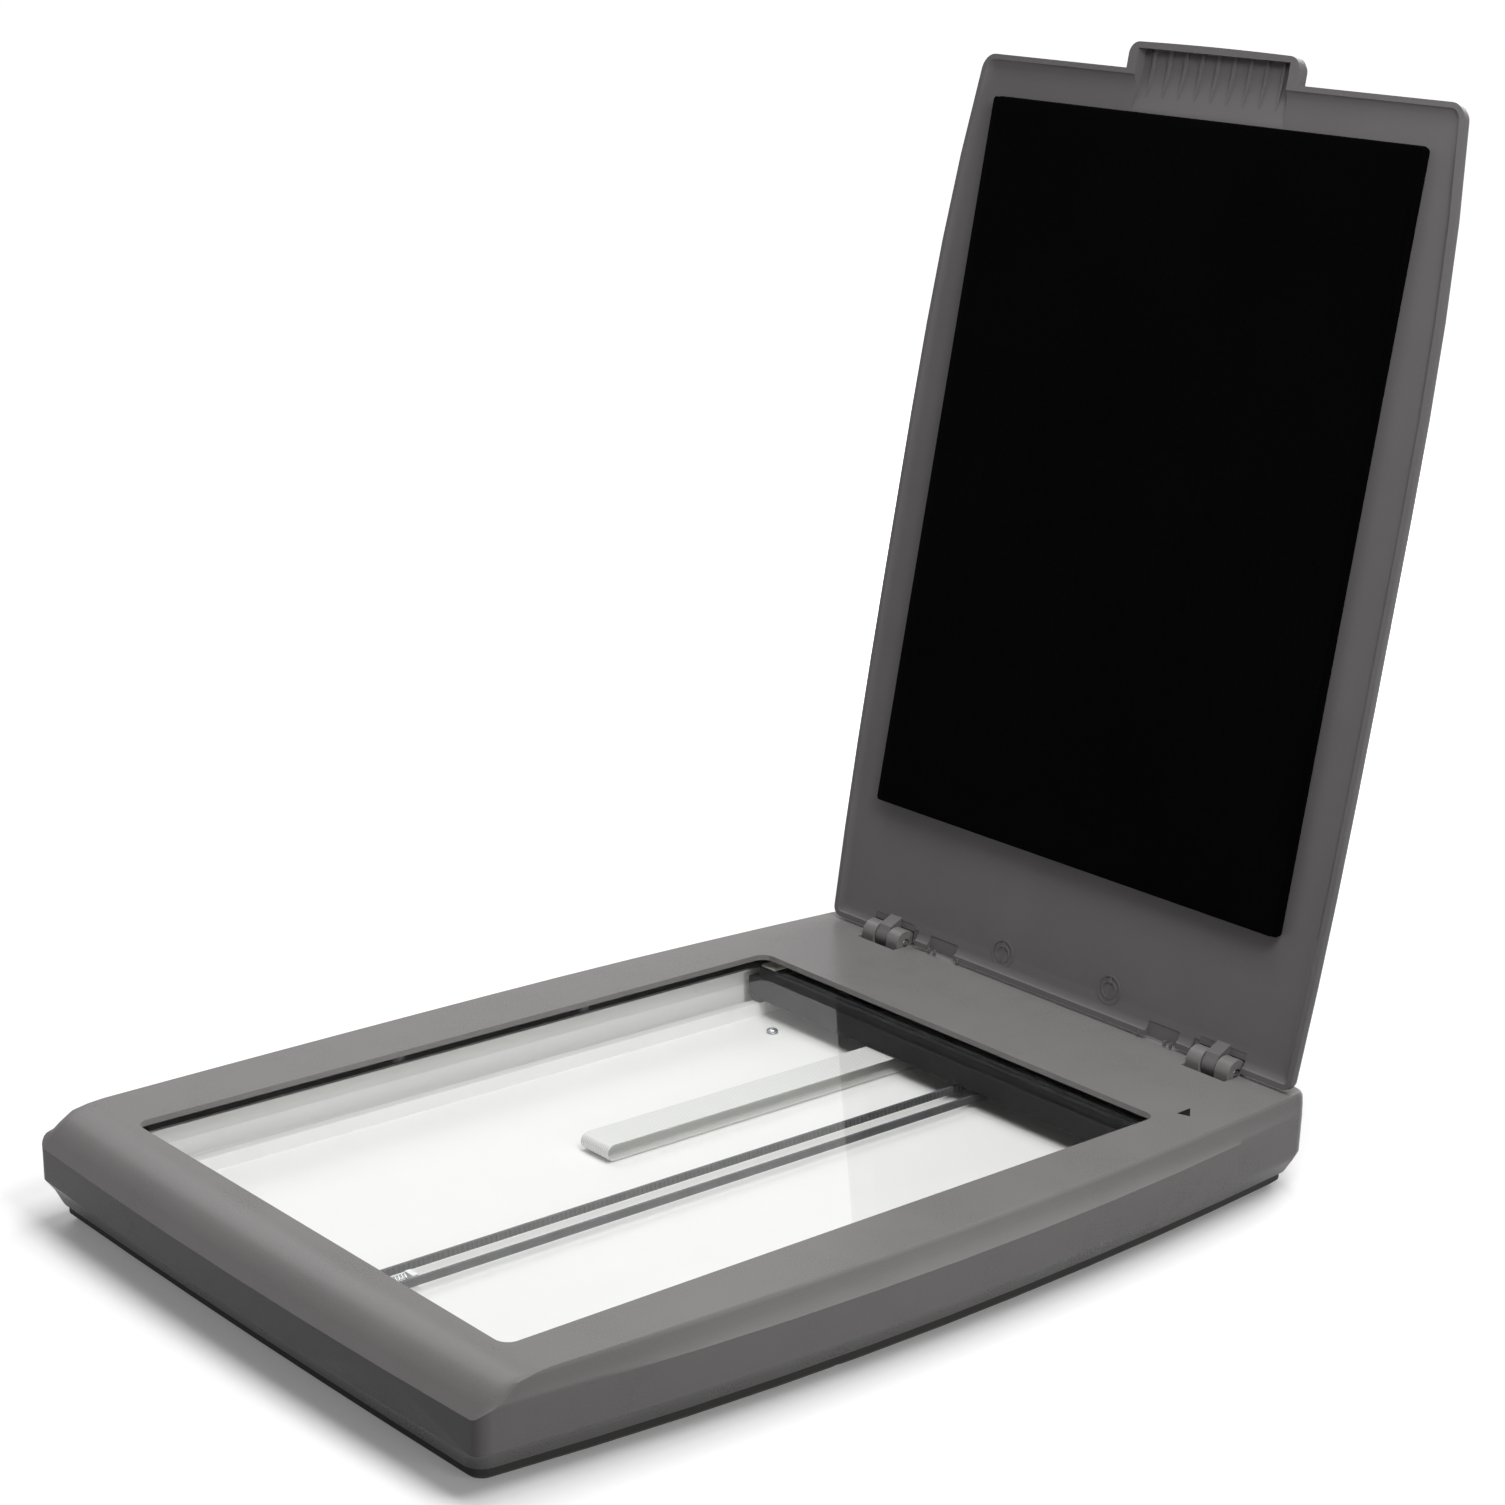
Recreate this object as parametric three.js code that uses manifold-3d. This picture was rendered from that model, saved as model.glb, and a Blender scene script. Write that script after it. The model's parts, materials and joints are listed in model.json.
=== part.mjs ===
// Flatbed document scanner with its lid open against the stop.
// Millimetres. The case frame has its origin at the centre of the scanning window, on the flat top
// of the base: X to the right, Y towards the hinge, Z up. The whole is then set on its feet.
import * as THREE from "three";
import { mergeVertices } from "three/addons/utils/BufferGeometryUtils.js";
import Module from "manifold-3d";

const wasm = await Module();
wasm.setup();

// Clearances and cuts
const gap = 0.3;
const overrun = 1;
const weldTolerance = 1e-5;

// Scanning window and its glass
const bed = { width: 216, length: 297, corner: 5, recess: 2.6, plate: 2.3 };
const glass = { thickness: 3, sideLip: 6.5, frontLip: 6, rearLip: 10, ribWall: 1.5, ribDepth: 2.4 };
const whiteStrip = { sideInset: 4, depth: 7, thickness: 0.4, setback: 2 };

// Outside of the base: a cove runs along both sides and the front rolls down to a lip
const base = {
  sideReach: 17.1, frontReach: 10.4, rearReach: 7.68, offset: -2, wall: 2.3,
  sideCove: 6.5, sideDrop: 8.2, frontRoll: 22, frontDrop: 12, rearRound: 3.1, rearDrop: 12,
};
// Its plan at the crease on top, at the ledge below the cove and at the bottom edge: how far the
// sides draw in towards both ends, how far the front bows and stands to the right, and the corners
const creasePlan = { frontSag: 3.4, rearSag: 7, bow: 3, frontShift: -1.5, frontCorner: 4, rearCorner: 6 };
const ledgePlan = { frontSag: 9.5, rearSag: 12.5, bow: 3, frontShift: -3, frontCorner: 5, rearCorner: 8 };
const edgePlan = { frontSag: 7.5, rearSag: 9, bow: 1.5, frontShift: -5, frontCorner: 6, rearCorner: 6 };
const wallFoot = { sideRise: 5, frontRise: 3.8, rearRise: 1, draft: 0.5 };
const undercut = {
  in: 8.5, waist: 5.4, frontIn: 6.5, frontWaist: 4.2, rearIn: 2.4, rearWaist: 0.6, waistHeight: 5,
};
const sideOutShares = [0, 0.14, 0.23, 0.41, 0.69, 1];
const sideDownShares = [0, 0.07, 0.2, 0.56, 0.85, 1];
const frontOutShares = [0, 0.27, 0.52, 0.72, 0.85, 1];
const frontDownShares = [0, 0.07, 0.2, 0.43, 0.7, 1];
const rearOutShares = [0, 0.55, 0.87, 1, 1, 1];
const rearDownShares = [0, 0.07, 0.18, 0.42, 0.67, 1];

// Bottom pan, its bosses and feet
const pan = { inset: 1.6, wall: 2.3, chamfer: 2, room: 7.4, floor: 2.3, height: 5.5 };
const foot = { radius: 8, rim: 0.8, recess: 1, stand: 1.5, sideInset: 36.7, frontInset: 32.4, rearInset: 35.2 };
const caseScrew = {
  radius: 1.3, head: 2.5, headHeight: 1.8, length: 20, boss: 2.8, seat: 3.7, clearance: 0.5,
  sidePairs: 2, sideStart: 149.4, sideSpacing: 90, rearInset: 28.7, endInset: 21.2,
};

// Pale inner tray that carries the travelling parts
const tray = {
  sideMargin: 12.3, frontMargin: 15.5, rearMargin: 6, corner: 14, rearCorner: 6, wall: 1.8, floor: 1.8,
  rimSetback: 4.9, beltRoom: 4, bevel: 4.5, innerBevel: 2.9, bevelHeight: 3.5, railHalf: 2, railSetback: 1.9,
  railInset: 8, guideInset: 10.3, postInset: 30.3, postFront: 26, postRear: 34, postRadius: 4.5,
};
const smallScrew = { radius: 1.1, head: 2.4, headHeight: 1.6, length: 6 };
const screwDomeShare = 0.7;
const rod = { radius: 3, frontInset: 1.5, overhang: 1.5 };

// Toothed belt loop round two upright pulleys, driven by a geared stepper motor
const belt = { x: 11, room: 3.5, height: 3, thickness: 1, inner: 5.2, wheelClearance: 0.48, frontInset: 12.5 };
const pulley = { flange: 7, flangeHeight: 0.7, bore: 1.8, teeth: 16, toothDepth: 0.5 };
const toothShares = [0, 0.5, 0.55, 0.95];
const axle = { radius: 1.5, head: 2.6, headHeight: 0.8 };
const gears = {
  module: 0.8, pinionTeeth: 12, wheelTeeth: 42, width: 3, beltRoom: 3.3, pressure: 20, backlash: 0.3,
  pinionExtra: 0.4, addendum: 0.9, dedendum: 1.25, samePoint: 0.008,
};
const motor = {
  radius: 10.5, height: 15, ear: 3, earReach: 16.4, earThickness: 1.2, shaft: 1, boss: 4, bossHeight: 1.2,
};
const idler = { tail: 22, halfWidth: 4, thickness: 0.9, pin: 1.5 };
const spring = { radius: 1.5, wire: 0.28, turns: 10, length: 14, post: 2.4, ringsPerTurn: 8, sides: 5 };

// Carriage with the contact image sensor
const carriage = {
  leftRoom: 5.8, rightRoom: 5.3, half: 10, frontRoom: 0.5, rearRoom: 7.5, floor: 1.8,
  wall: 1.5, rimSetback: 4.1, saddle: 5, saddleDepth: 3.5, saddleFront: 5, shoe: 3,
};
const sensor = {
  overlap: 3, depth: 15, height: 8.5, slot: 9, slotDepth: 4.2, glassWidth: 11,
  glassThickness: 0.8, bar: 2.6, barHeight: 2.4, barSetback: 1.1,
};
const slider = { length: 9, depth: 13, thickness: 0.7 };
const leaf = { length: 26, width: 6, thickness: 0.3, endInset: 41, rise: 1.1, clearance: 0.6 };
const clamp = { half: 3, setback: 7, finger: 1.8, depth: 2.2 };
const ribbon = { inset: 37, width: 16, thickness: 0.3, rise: 0.6, room: 0.7, tail: 6.4, ramp: 5.2 };

// Circuit board and the data socket in the rear wall
const board = {
  postClearance: 18, gearClearance: 3.48, clearance: 2.5, rearInset: 8.7, rise: 1.4, thickness: 1.6, margin: 4.5, post: 4,
};
const socket = {
  inset: 27, width: 12, height: 10.9, length: 16, mouthWidth: 8.6, mouthHeight: 7.8, mouthDepth: 10,
  tongueWidth: 5.6, tongueHeight: 3.2, tongueSetback: 4.8, faceSetback: 0.8,
};

// Lift-out hinges
const hinge = {
  sideInset: 50.7, rearInset: 13, height: 1.2, half: 10.5, knuckle: 5.4, earHalf: 3.2, earGap: 0.5, ear: 4.8,
  webReach: 5, webHeight: 2.9, pin: 1.5, lift: 15, lean: 9.44,
};
const post = { shoulderDrop: 5, stemHalf: 7.5, stemDepth: 8.4, lug: 3.6, lugHalf: 9.6, stopGap: 0.5 };
const slot = { clearance: 0.35, front: 7.7, rear: 5.7, sleeveWall: 1.6, sleeveTop: 1.7, sleeveDrop: 13.9 };

// Lid, in its own frame: origin on the hinge axis, Y along the lid, Z out of its inner face
const lid = {
  sideInset: 12.3, hingeEnd: 0.3, frontInset: 10.6, hingeSag: 3.2, frontSag: 8.8, corner: 6, hingeCorner: 4,
  rimGap: 1.9, side: 2.6, edge: 5, crown: 7.6, crownSpan: 64.2, rim: 2.1, tray: 2, sweep: 8,
};
const edgeRound = { inShare: 0.3, downShare: 0.7 };
const crownInShares = [0, 0.14, 0.6];
const crownDepthShares = [0, 0.45, 0.85];
const sweepInShares = [0, 0.12, 0.4, 1];
const sweepDepthShares = [0, 0.5, 0.85, 1];
const tab = {
  half: 42.5, reach: 10.5, root: 22, corner: 5, thickness: 6.8, bow: 0.8, wellHalf: 38, wellWall: 2.4,
  wellDepth: 4.8, ribs: 9, ribPitch: 8.1, ribWidth: 1, ribLength: 19.5, ribHeight: 1.1,
  ribRamp: 6.5, ribCrest: 9.7,
};
const mat = { sideInset: 0.8, endInset: 1.7, corner: 1.5, proud: 4, sheet: 0.8 };
const pocket = { inset: 14, depth: 2.2, rib: 2, longRibs: 2, crossRibs: 3 };
const rimNotch = { farSide: 37.4, nearSide: 21.4, postSide: 14.3 };
const earNotch = { sideClearance: 1, clearance: 0.5, through: 3.2, height: 8 };

// Sizes that follow from the window outwards
sensor.half = bed.width / 2 + sensor.overlap;
leaf.x = sensor.half - leaf.endInset;
carriage.homeY = bed.length / 2 + carriage.rearRoom;
carriage.travel = carriage.homeY + bed.length / 2 - carriage.frontRoom;
ribbon.turnY = carriage.homeY - carriage.travel / 2;
tray.half = bed.width / 2 + tray.sideMargin;
tray.front = -bed.length / 2 - tray.frontMargin;
tray.rear = carriage.homeY + carriage.half + tray.rearMargin;
tray.railX = tray.guideInset - tray.half;
rod.x = tray.half - tray.guideInset;
carriage.left = carriage.leftRoom - tray.half;
carriage.right = tray.half - carriage.rightRoom;
gears.wheelTip = gears.module * (gears.wheelTeeth / 2 + gears.addendum);
belt.rearY = tray.rear + Math.max(gears.wheelTip, motor.earReach) + belt.wheelClearance;
belt.frontY = tray.front + belt.frontInset;
caseScrew.sideX = tray.half + caseScrew.boss + caseScrew.clearance;
base.half = caseScrew.sideX + base.sideReach;
base.front = tray.front - base.frontReach;
base.rear = belt.rearY + gears.wheelTip + base.rearReach;
caseScrew.rearX = base.half - caseScrew.rearInset;
caseScrew.rearY = base.rear - caseScrew.endInset;
hinge.x = base.half - hinge.sideInset;
hinge.y = base.rear - hinge.rearInset;
board.front = tray.rear + board.clearance;
board.rear = base.rear - board.rearInset;
board.left = board.postClearance - hinge.x;
board.right = belt.x - gears.wheelTip - board.gearClearance;
socket.x = board.left + socket.inset;
ribbon.x = board.left + ribbon.inset;
lid.half = base.half - lid.sideInset;
lid.frontEnd = hinge.y - base.front - lid.frontInset;
mat.width = bed.width - 2 * mat.sideInset;
mat.length = bed.length - 2 * mat.endInset;
whiteStrip.width = bed.width - 2 * whiteStrip.sideInset;
rimNotch.from = hinge.x - rimNotch.farSide;
rimNotch.to = hinge.x - rimNotch.nearSide;
rimNotch.nearPost = hinge.x - rimNotch.postSide;

// Depths below the flat top that follow from the glass down to the desk
sensor.topDrop = bed.recess + glass.thickness + slider.thickness + 2 * gap;
sensor.bottomDrop = sensor.topDrop + sensor.height;
carriage.rimDrop = sensor.topDrop + carriage.rimSetback;
carriage.floorDrop = sensor.bottomDrop + leaf.clearance + leaf.rise + leaf.thickness + gap + carriage.floor;
ribbon.highDrop = carriage.floorDrop + ribbon.room;
rod.drop = carriage.floorDrop + rod.radius + gap;
carriage.saddleDrop = rod.drop + carriage.saddleDepth;
belt.drop = carriage.floorDrop + belt.room;
clamp.drop = belt.drop + clamp.depth;
gears.topDrop = belt.drop + gears.beltRoom;
tray.rimDrop = bed.recess + glass.thickness + tray.rimSetback;
tray.railTop = carriage.floorDrop + tray.railSetback;
tray.floorDrop = belt.drop + tray.beltRoom;
tray.bevelDrop = tray.floorDrop - tray.bevelHeight;
ribbon.lowDrop = tray.floorDrop - ribbon.rise;
board.topDrop = tray.floorDrop - board.rise;
pan.bottomDrop = tray.floorDrop + tray.floor + pan.room + pan.floor;
base.height = pan.bottomDrop + foot.stand;
undercut.edgeDrop = pan.bottomDrop - pan.height;
undercut.waistDrop = undercut.edgeDrop - undercut.waistHeight;
wallFoot.side = undercut.waistDrop - wallFoot.sideRise;
wallFoot.front = undercut.waistDrop - wallFoot.frontRise;
wallFoot.rear = undercut.waistDrop - wallFoot.rearRise;

// Levels that several pieces share
const axisPoint = new THREE.Vector3(0, hinge.y, hinge.height);
const glassTop = -bed.recess;
const glassBottom = glassTop - glass.thickness;
const panFloor = -pan.bottomDrop + pan.floor;
const trayFloor = -tray.floorDrop;
const motorX = belt.x + ((gears.pinionTeeth + gears.wheelTeeth) * gears.module) / 2;
const lidRim = hinge.height - lid.rimGap;
const lidFloor = lidRim - lid.tray;
const matCentre = hinge.y;
const strandX = belt.x - belt.inner - belt.thickness / 2;
const rearScrewXs = [-caseScrew.rearX, caseScrew.rearX];
const postBottom = -slot.sleeveDrop - hinge.lift - post.stopGap - post.lug;

// Round counts
const cornerSteps = 6;
const sideSteps = 10;
const endSteps = 6;
const roundSteps = 24;
const smallSteps = 12;
const bendSteps = 8;
const leastCornerShare = 1 / 3;

const finishes = {
  casing: [0x7b7977, 0.5, 0],
  underside: [0x4c4b4a, 0.6, 0],
  pale: [0xe4e3df, 0.6, 0],
  glass: [0xdfe9e6, 0.05, 0],
  white: [0xf4f4f2, 0.7, 0],
  rubber: [0x222222, 0.9, 0],
  black: [0x17171a, 0.55, 0],
  matBlack: [0x050505, 0.85, 0],
  steel: [0xb9bcc0, 0.28, 1],
  zinc: [0xa4a7aa, 0.4, 1],
  brass: [0xc2a55e, 0.35, 1],
  nylon: [0xe9e6da, 0.5, 0],
  beltBlack: [0x1d1d1d, 0.8, 0],
  board: [0x1f5b3a, 0.5, 0],
  ribbon: [0xe8e8e4, 0.45, 0],
};

function finish(name) {
  const [color, roughness, metalness] = finishes[name];
  return new THREE.MeshStandardMaterial({ name, color, roughness, metalness });
}

// Solids

function solid(geometry) {
  const bare = geometry.clone();
  bare.deleteAttribute("normal");
  bare.deleteAttribute("uv");
  const merged = mergeVertices(bare, weldTolerance);
  const index = merged.index.array;
  return new wasm.Manifold(
    new wasm.Mesh({
      numProp: 3,
      vertProperties: new Float32Array(merged.attributes.position.array),
      triVerts: new Uint32Array(index),
    }),
  );
}

function meshGeometry(body) {
  const mesh = body.getMesh();
  const positions = new Float32Array(mesh.numVert * 3);
  for (let i = 0; i < mesh.numVert; i++) {
    positions.set(mesh.vertProperties.subarray(i * mesh.numProp, i * mesh.numProp + 3), i * 3);
  }
  const indexed = new THREE.BufferGeometry();
  indexed.setAttribute("position", new THREE.BufferAttribute(positions, 3));
  indexed.setIndex(new THREE.BufferAttribute(new Uint32Array(mesh.triVerts), 1));
  const flat = indexed.toNonIndexed();
  flat.computeVertexNormals();
  return flat;
}

function block(x0, x1, y0, y1, z0, z1) {
  const geometry = new THREE.BoxGeometry(x1 - x0, y1 - y0, z1 - z0);
  geometry.translate((x0 + x1) / 2, (y0 + y1) / 2, (z0 + z1) / 2);
  return solid(geometry);
}

// Upright cylinder from z0 to z1
function drum(radius, x, y, z0, z1, steps = roundSteps) {
  const geometry = new THREE.CylinderGeometry(radius, radius, z1 - z0, steps);
  geometry.rotateX(Math.PI / 2);
  geometry.translate(x, y, (z0 + z1) / 2);
  return solid(geometry);
}

// Cylinder along X from x0 to x1
function barrel(radius, x0, x1, y, z, steps = roundSteps) {
  const geometry = new THREE.CylinderGeometry(radius, radius, x1 - x0, steps);
  geometry.rotateZ(Math.PI / 2);
  geometry.translate((x0 + x1) / 2, y, z);
  return solid(geometry);
}

// Cylinder along Y from y0 to y1
function shaft(radius, x, z, y0, y1, steps = roundSteps) {
  const geometry = new THREE.CylinderGeometry(radius, radius, y1 - y0, steps);
  geometry.translate(x, (y0 + y1) / 2, z);
  return solid(geometry);
}

// A flat outline raised from z0 to z1
function prism(shape, z0, z1) {
  const geometry = new THREE.ExtrudeGeometry(shape, {
    depth: z1 - z0,
    bevelEnabled: false,
    curveSegments: cornerSteps,
  });
  geometry.translate(0, 0, z0);
  return solid(geometry);
}

// An outline drawn in Y and Z, carried along X from x0 to x1
function sideways(shape, x0, x1) {
  const geometry = new THREE.ExtrudeGeometry(shape, {
    depth: x1 - x0,
    bevelEnabled: false,
    curveSegments: cornerSteps,
  });
  geometry.applyMatrix4(
    new THREE.Matrix4().makeBasis(
      new THREE.Vector3(0, 1, 0),
      new THREE.Vector3(0, 0, 1),
      new THREE.Vector3(1, 0, 0),
    ),
  );
  geometry.translate(x0, 0, 0);
  return solid(geometry);
}

function roundedRectangle(x0, x1, y0, y1, corner) {
  const shape = new THREE.Shape();
  shape.moveTo(x0 + corner, y0);
  shape.lineTo(x1 - corner, y0);
  shape.absarc(x1 - corner, y0 + corner, corner, -Math.PI / 2, 0);
  shape.lineTo(x1, y1 - corner);
  shape.absarc(x1 - corner, y1 - corner, corner, 0, Math.PI / 2);
  shape.lineTo(x0 + corner, y1);
  shape.absarc(x0 + corner, y1 - corner, corner, Math.PI / 2, Math.PI);
  shape.lineTo(x0, y0 + corner);
  shape.absarc(x0 + corner, y0 + corner, corner, Math.PI, 1.5 * Math.PI);
  return shape;
}

function polygon(points) {
  return new THREE.Shape(points.map(([a, b]) => new THREE.Vector2(a, b)));
}

// One closed plan ring of a moulding: a rounded rectangle whose sides bulge like a barrel. Its
// height may differ on the sides, at the low end and at the high end of Y, and turns smoothly
// from one to the next round the corners.
function planRing(level) {
  const { half, low, high, lowCorner, highCorner } = level;
  const middle = (low + high) / 2;
  const reach = (high - low) / 2;
  const raw = [];
  const side = (x, from, to, count) => {
    for (let i = 1; i < count; i++) raw.push([x, from + ((to - from) * i) / count, Math.sign(x), 0]);
  };
  const end = (y, from, to, count) => {
    for (let i = 1; i < count; i++) raw.push([from + ((to - from) * i) / count, y, 0, Math.sign(y - middle)]);
  };
  const arc = (x, y, corner, quarter) => {
    for (let i = 0; i <= cornerSteps; i++) {
      const angle = ((quarter + i / cornerSteps) * Math.PI) / 2;
      const nx = Math.cos(angle);
      const ny = Math.sin(angle);
      raw.push([x + corner * nx, y + corner * ny, nx, ny]);
    }
  };
  side(half, low + lowCorner, high - highCorner, sideSteps);
  arc(half - highCorner, high - highCorner, highCorner, 0);
  end(high, half - highCorner, highCorner - half, endSteps);
  arc(highCorner - half, high - highCorner, highCorner, 1);
  side(-half, high - highCorner, low + lowCorner, sideSteps);
  arc(lowCorner - half, low + lowCorner, lowCorner, 2);
  end(low, lowCorner - half, half - lowCorner, endSteps);
  arc(half - lowCorner, low + lowCorner, lowCorner, 3);
  return raw.map(([x, y, nx, ny]) => {
    const along = (y - middle) / reach;
    const sag = along < 0 ? level.lowSag : level.highSag;
    const narrowed = x * (1 - (sag * Math.abs(along) ** level.power) / half);
    const bowed = along < 0 ? y - level.lowBow * along * (x / half) ** 2 : y;
    const lowShare = ny < 0 ? ny * ny : 0;
    const highShare = ny > 0 ? ny * ny : 0;
    const height = level.sideZ * nx * nx + level.lowZ * lowShare + level.highZ * highShare;
    const shift = along < 0 ? level.lowShift * along * along : 0;
    return [narrowed + level.centre + shift, bowed, height];
  });
}

// Closed skin over rings that are listed from the top down
function loft(rings) {
  const points = rings.flat();
  const count = rings[0].length;
  const faces = [];
  for (let i = 0; i + 1 < rings.length; i++) {
    for (let j = 0; j < count; j++) {
      const next = (j + 1) % count;
      const a = i * count + j;
      const b = (i + 1) * count + j;
      faces.push(a, b, (i + 1) * count + next, a, (i + 1) * count + next, i * count + next);
    }
  }
  const centre = (ring) => ring.reduce((sum, p) => sum.map((v, k) => v + p[k] / count), [0, 0, 0]);
  const top = points.length;
  points.push(centre(rings[0]), centre(rings[rings.length - 1]));
  const last = (rings.length - 1) * count;
  for (let j = 0; j < count; j++) {
    const next = (j + 1) % count;
    faces.push(top, j, next, top + 1, last + next, last + j);
  }
  const geometry = new THREE.BufferGeometry();
  geometry.setAttribute("position", new THREE.Float32BufferAttribute(points.flat(), 3));
  geometry.setIndex(faces);
  return solid(geometry);
}

// Profile points [in, down] moved inwards by the wall, square to the profile
function insetProfile(profile, wall) {
  return profile.map(([inward, down], i) => {
    if (i === 0) return [inward, down + wall];
    const before = profile[i - 1];
    const after = profile[Math.min(i + 1, profile.length - 1)];
    const across = before[0] - after[0];
    const fall = after[1] - before[1];
    const length = Math.hypot(across, fall);
    return [inward + (wall * fall) / length, down + (wall * across) / length];
  });
}

// Outer casing

function coverProfiles() {
  const rise = (outShares, downShares, width, drop) =>
    outShares.map((share, i) => [width * (1 - share), drop * downShares[i]]);
  const below = (draft, footDrop, waist, edge) => [
    [draft, footDrop],
    [waist, undercut.waistDrop],
    [edge, undercut.edgeDrop],
  ];
  const { waist, in: edge, frontWaist, frontIn, rearWaist, rearIn } = undercut;
  return {
    side: [
      ...rise(sideOutShares, sideDownShares, base.sideCove, base.sideDrop),
      ...below(wallFoot.draft, wallFoot.side, waist, edge),
    ],
    low: [
      ...rise(frontOutShares, frontDownShares, base.frontRoll, base.frontDrop),
      ...below(wallFoot.draft, wallFoot.front, frontWaist, frontIn),
    ],
    high: [
      ...rise(rearOutShares, rearDownShares, base.rearRound, base.rearDrop),
      ...below(0, wallFoot.rear, rearWaist, rearIn),
    ],
  };
}

function blend(from, to, share) {
  return from + (to - from) * share;
}

// The base's plan at one station of its profiles: the skin's own station gives its bulge and corners
function baseLevel(skin, side, low, high, shrink) {
  const out = 1 - Math.min(1, skin[0] / base.sideCove);
  const below = skin[1] > base.sideDrop;
  const [from, to, share] = below ? [ledgePlan, edgePlan, 1 - out] : [creasePlan, ledgePlan, out];
  const plan = (key) => blend(from[key], to[key], share);
  return {
    centre: base.offset,
    lowShift: plan("frontShift"),
    half: base.half - side[0],
    low: base.front + low[0],
    high: base.rear - high[0],
    lowCorner: plan("frontCorner") - shrink / 2,
    highCorner: plan("rearCorner") - shrink / 2,
    lowSag: plan("frontSag"),
    highSag: plan("rearSag"),
    power: 2,
    lowBow: plan("bow"),
    sideZ: -side[1],
    lowZ: -low[1],
    highZ: -high[1],
  };
}

function baseRings(skin, profiles, shrink) {
  const { side, low, high } = profiles;
  return side.map((station, i) => planRing(baseLevel(skin.side[i], station, low[i], high[i], shrink)));
}

function levelRing(ring, z) {
  return ring.map(([x, y]) => [x, y, z]);
}

function coverShell() {
  const outer = coverProfiles();
  const inner = {};
  for (const zone of ["side", "low", "high"]) inner[zone] = insetProfile(outer[zone], base.wall);
  const innerRings = baseRings(outer, inner, base.wall);
  innerRings[0] = levelRing(innerRings[0], -bed.plate);
  const lowest = innerRings[innerRings.length - 1];
  innerRings.push(levelRing(lowest, -undercut.edgeDrop - overrun));
  return loft(baseRings(outer, outer, 0)).subtract(loft(innerRings));
}

function glassBounds(margin) {
  return [
    -bed.width / 2 - glass.sideLip - margin,
    bed.width / 2 + glass.sideLip + margin,
    -bed.length / 2 - glass.frontLip - margin,
    bed.length / 2 + glass.rearLip + margin,
  ];
}

// Where the side and rear case screws stand
function caseScrewPlaces() {
  const places = [];
  for (let i = 0; i < caseScrew.sidePairs; i++) {
    const y = base.front + caseScrew.sideStart + i * caseScrew.sideSpacing;
    places.push([-caseScrew.sideX, y], [caseScrew.sideX, y]);
  }
  for (const x of rearScrewXs) places.push([x, caseScrew.rearY]);
  return places;
}

function hingeSleeve(x) {
  const halfWidth = hinge.half + slot.clearance + slot.sleeveWall;
  const front = hinge.y - slot.front - slot.sleeveWall;
  return block(x - halfWidth, x + halfWidth, front, base.rear - base.wall / 2, -slot.sleeveDrop, -slot.sleeveTop);
}

function hingeSlot(x) {
  const halfWidth = hinge.half + slot.clearance;
  const pocketFloor = -post.shoulderDrop - gap;
  const stemHalf = post.stemHalf + gap;
  const stemReach = post.stemDepth / 2 + gap;
  return block(x - halfWidth, x + halfWidth, hinge.y - slot.front, hinge.y + slot.rear, pocketFloor, overrun).add(
    block(
      x - stemHalf, x + stemHalf, hinge.y - stemReach, hinge.y + stemReach,
      -slot.sleeveDrop - overrun, pocketFloor + overrun,
    ),
  );
}

function socketCentre() {
  return -board.topDrop + gap + socket.height / 2;
}

function topCover() {
  const shelled = coverShell();
  const ribTop = -bed.plate + overrun;
  let cover = shelled
    .add(block(...glassBounds(gap + glass.ribWall), glassTop - glass.ribDepth, ribTop))
    .subtract(block(...glassBounds(gap), -base.height, -bed.plate));
  for (const x of [-hinge.x, hinge.x]) cover = cover.add(hingeSleeve(x)).subtract(hingeSlot(x));
  for (const [x, y] of caseScrewPlaces()) {
    cover = cover.add(drum(caseScrew.boss, x, y, -undercut.edgeDrop, ribTop - overrun / 2, smallSteps));
  }
  for (const [x, y] of caseScrewPlaces()) {
    const pilotTop = -pan.bottomDrop + caseScrew.headHeight + caseScrew.length + gap + overrun;
    cover = cover.subtract(drum(caseScrew.radius + gap, x, y, -base.height, pilotTop, smallSteps));
  }
  const windowShape = roundedRectangle(
    -bed.width / 2, bed.width / 2, -bed.length / 2, bed.length / 2, bed.corner,
  );
  const stripFront = bed.length / 2 + whiteStrip.setback - gap;
  const stripSpan = whiteStrip.depth + 2 * gap;
  const stripHalf = whiteStrip.width / 2 + gap;
  const stripTop = -bed.plate + whiteStrip.thickness + gap;
  const mouthHalf = socket.width / 2 + gap;
  const mouthRise = socket.height / 2 + gap;
  return cover
    .subtract(prism(windowShape, -bed.plate - overrun, overrun))
    .subtract(block(-stripHalf, stripHalf, stripFront, stripFront + stripSpan, -bed.plate - overrun, stripTop))
    .subtract(
      block(
        socket.x - mouthHalf, socket.x + mouthHalf, base.rear - base.wall - overrun, base.rear + overrun,
        socketCentre() - mouthRise, socketCentre() + mouthRise,
      ),
    );
}

function panRing(inset, z) {
  const side = [undercut.in + inset, undercut.edgeDrop];
  const front = [undercut.frontIn + inset, undercut.edgeDrop];
  const rear = [undercut.rearIn + inset, undercut.edgeDrop];
  return levelRing(planRing(baseLevel([undercut.in, undercut.edgeDrop], side, front, rear, inset)), z);
}

function footPlaces() {
  const x = base.half - foot.sideInset;
  const front = base.front + foot.frontInset;
  const rear = base.rear - foot.rearInset;
  return [[-x, front], [x, front], [-x, rear], [x, rear]];
}

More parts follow.
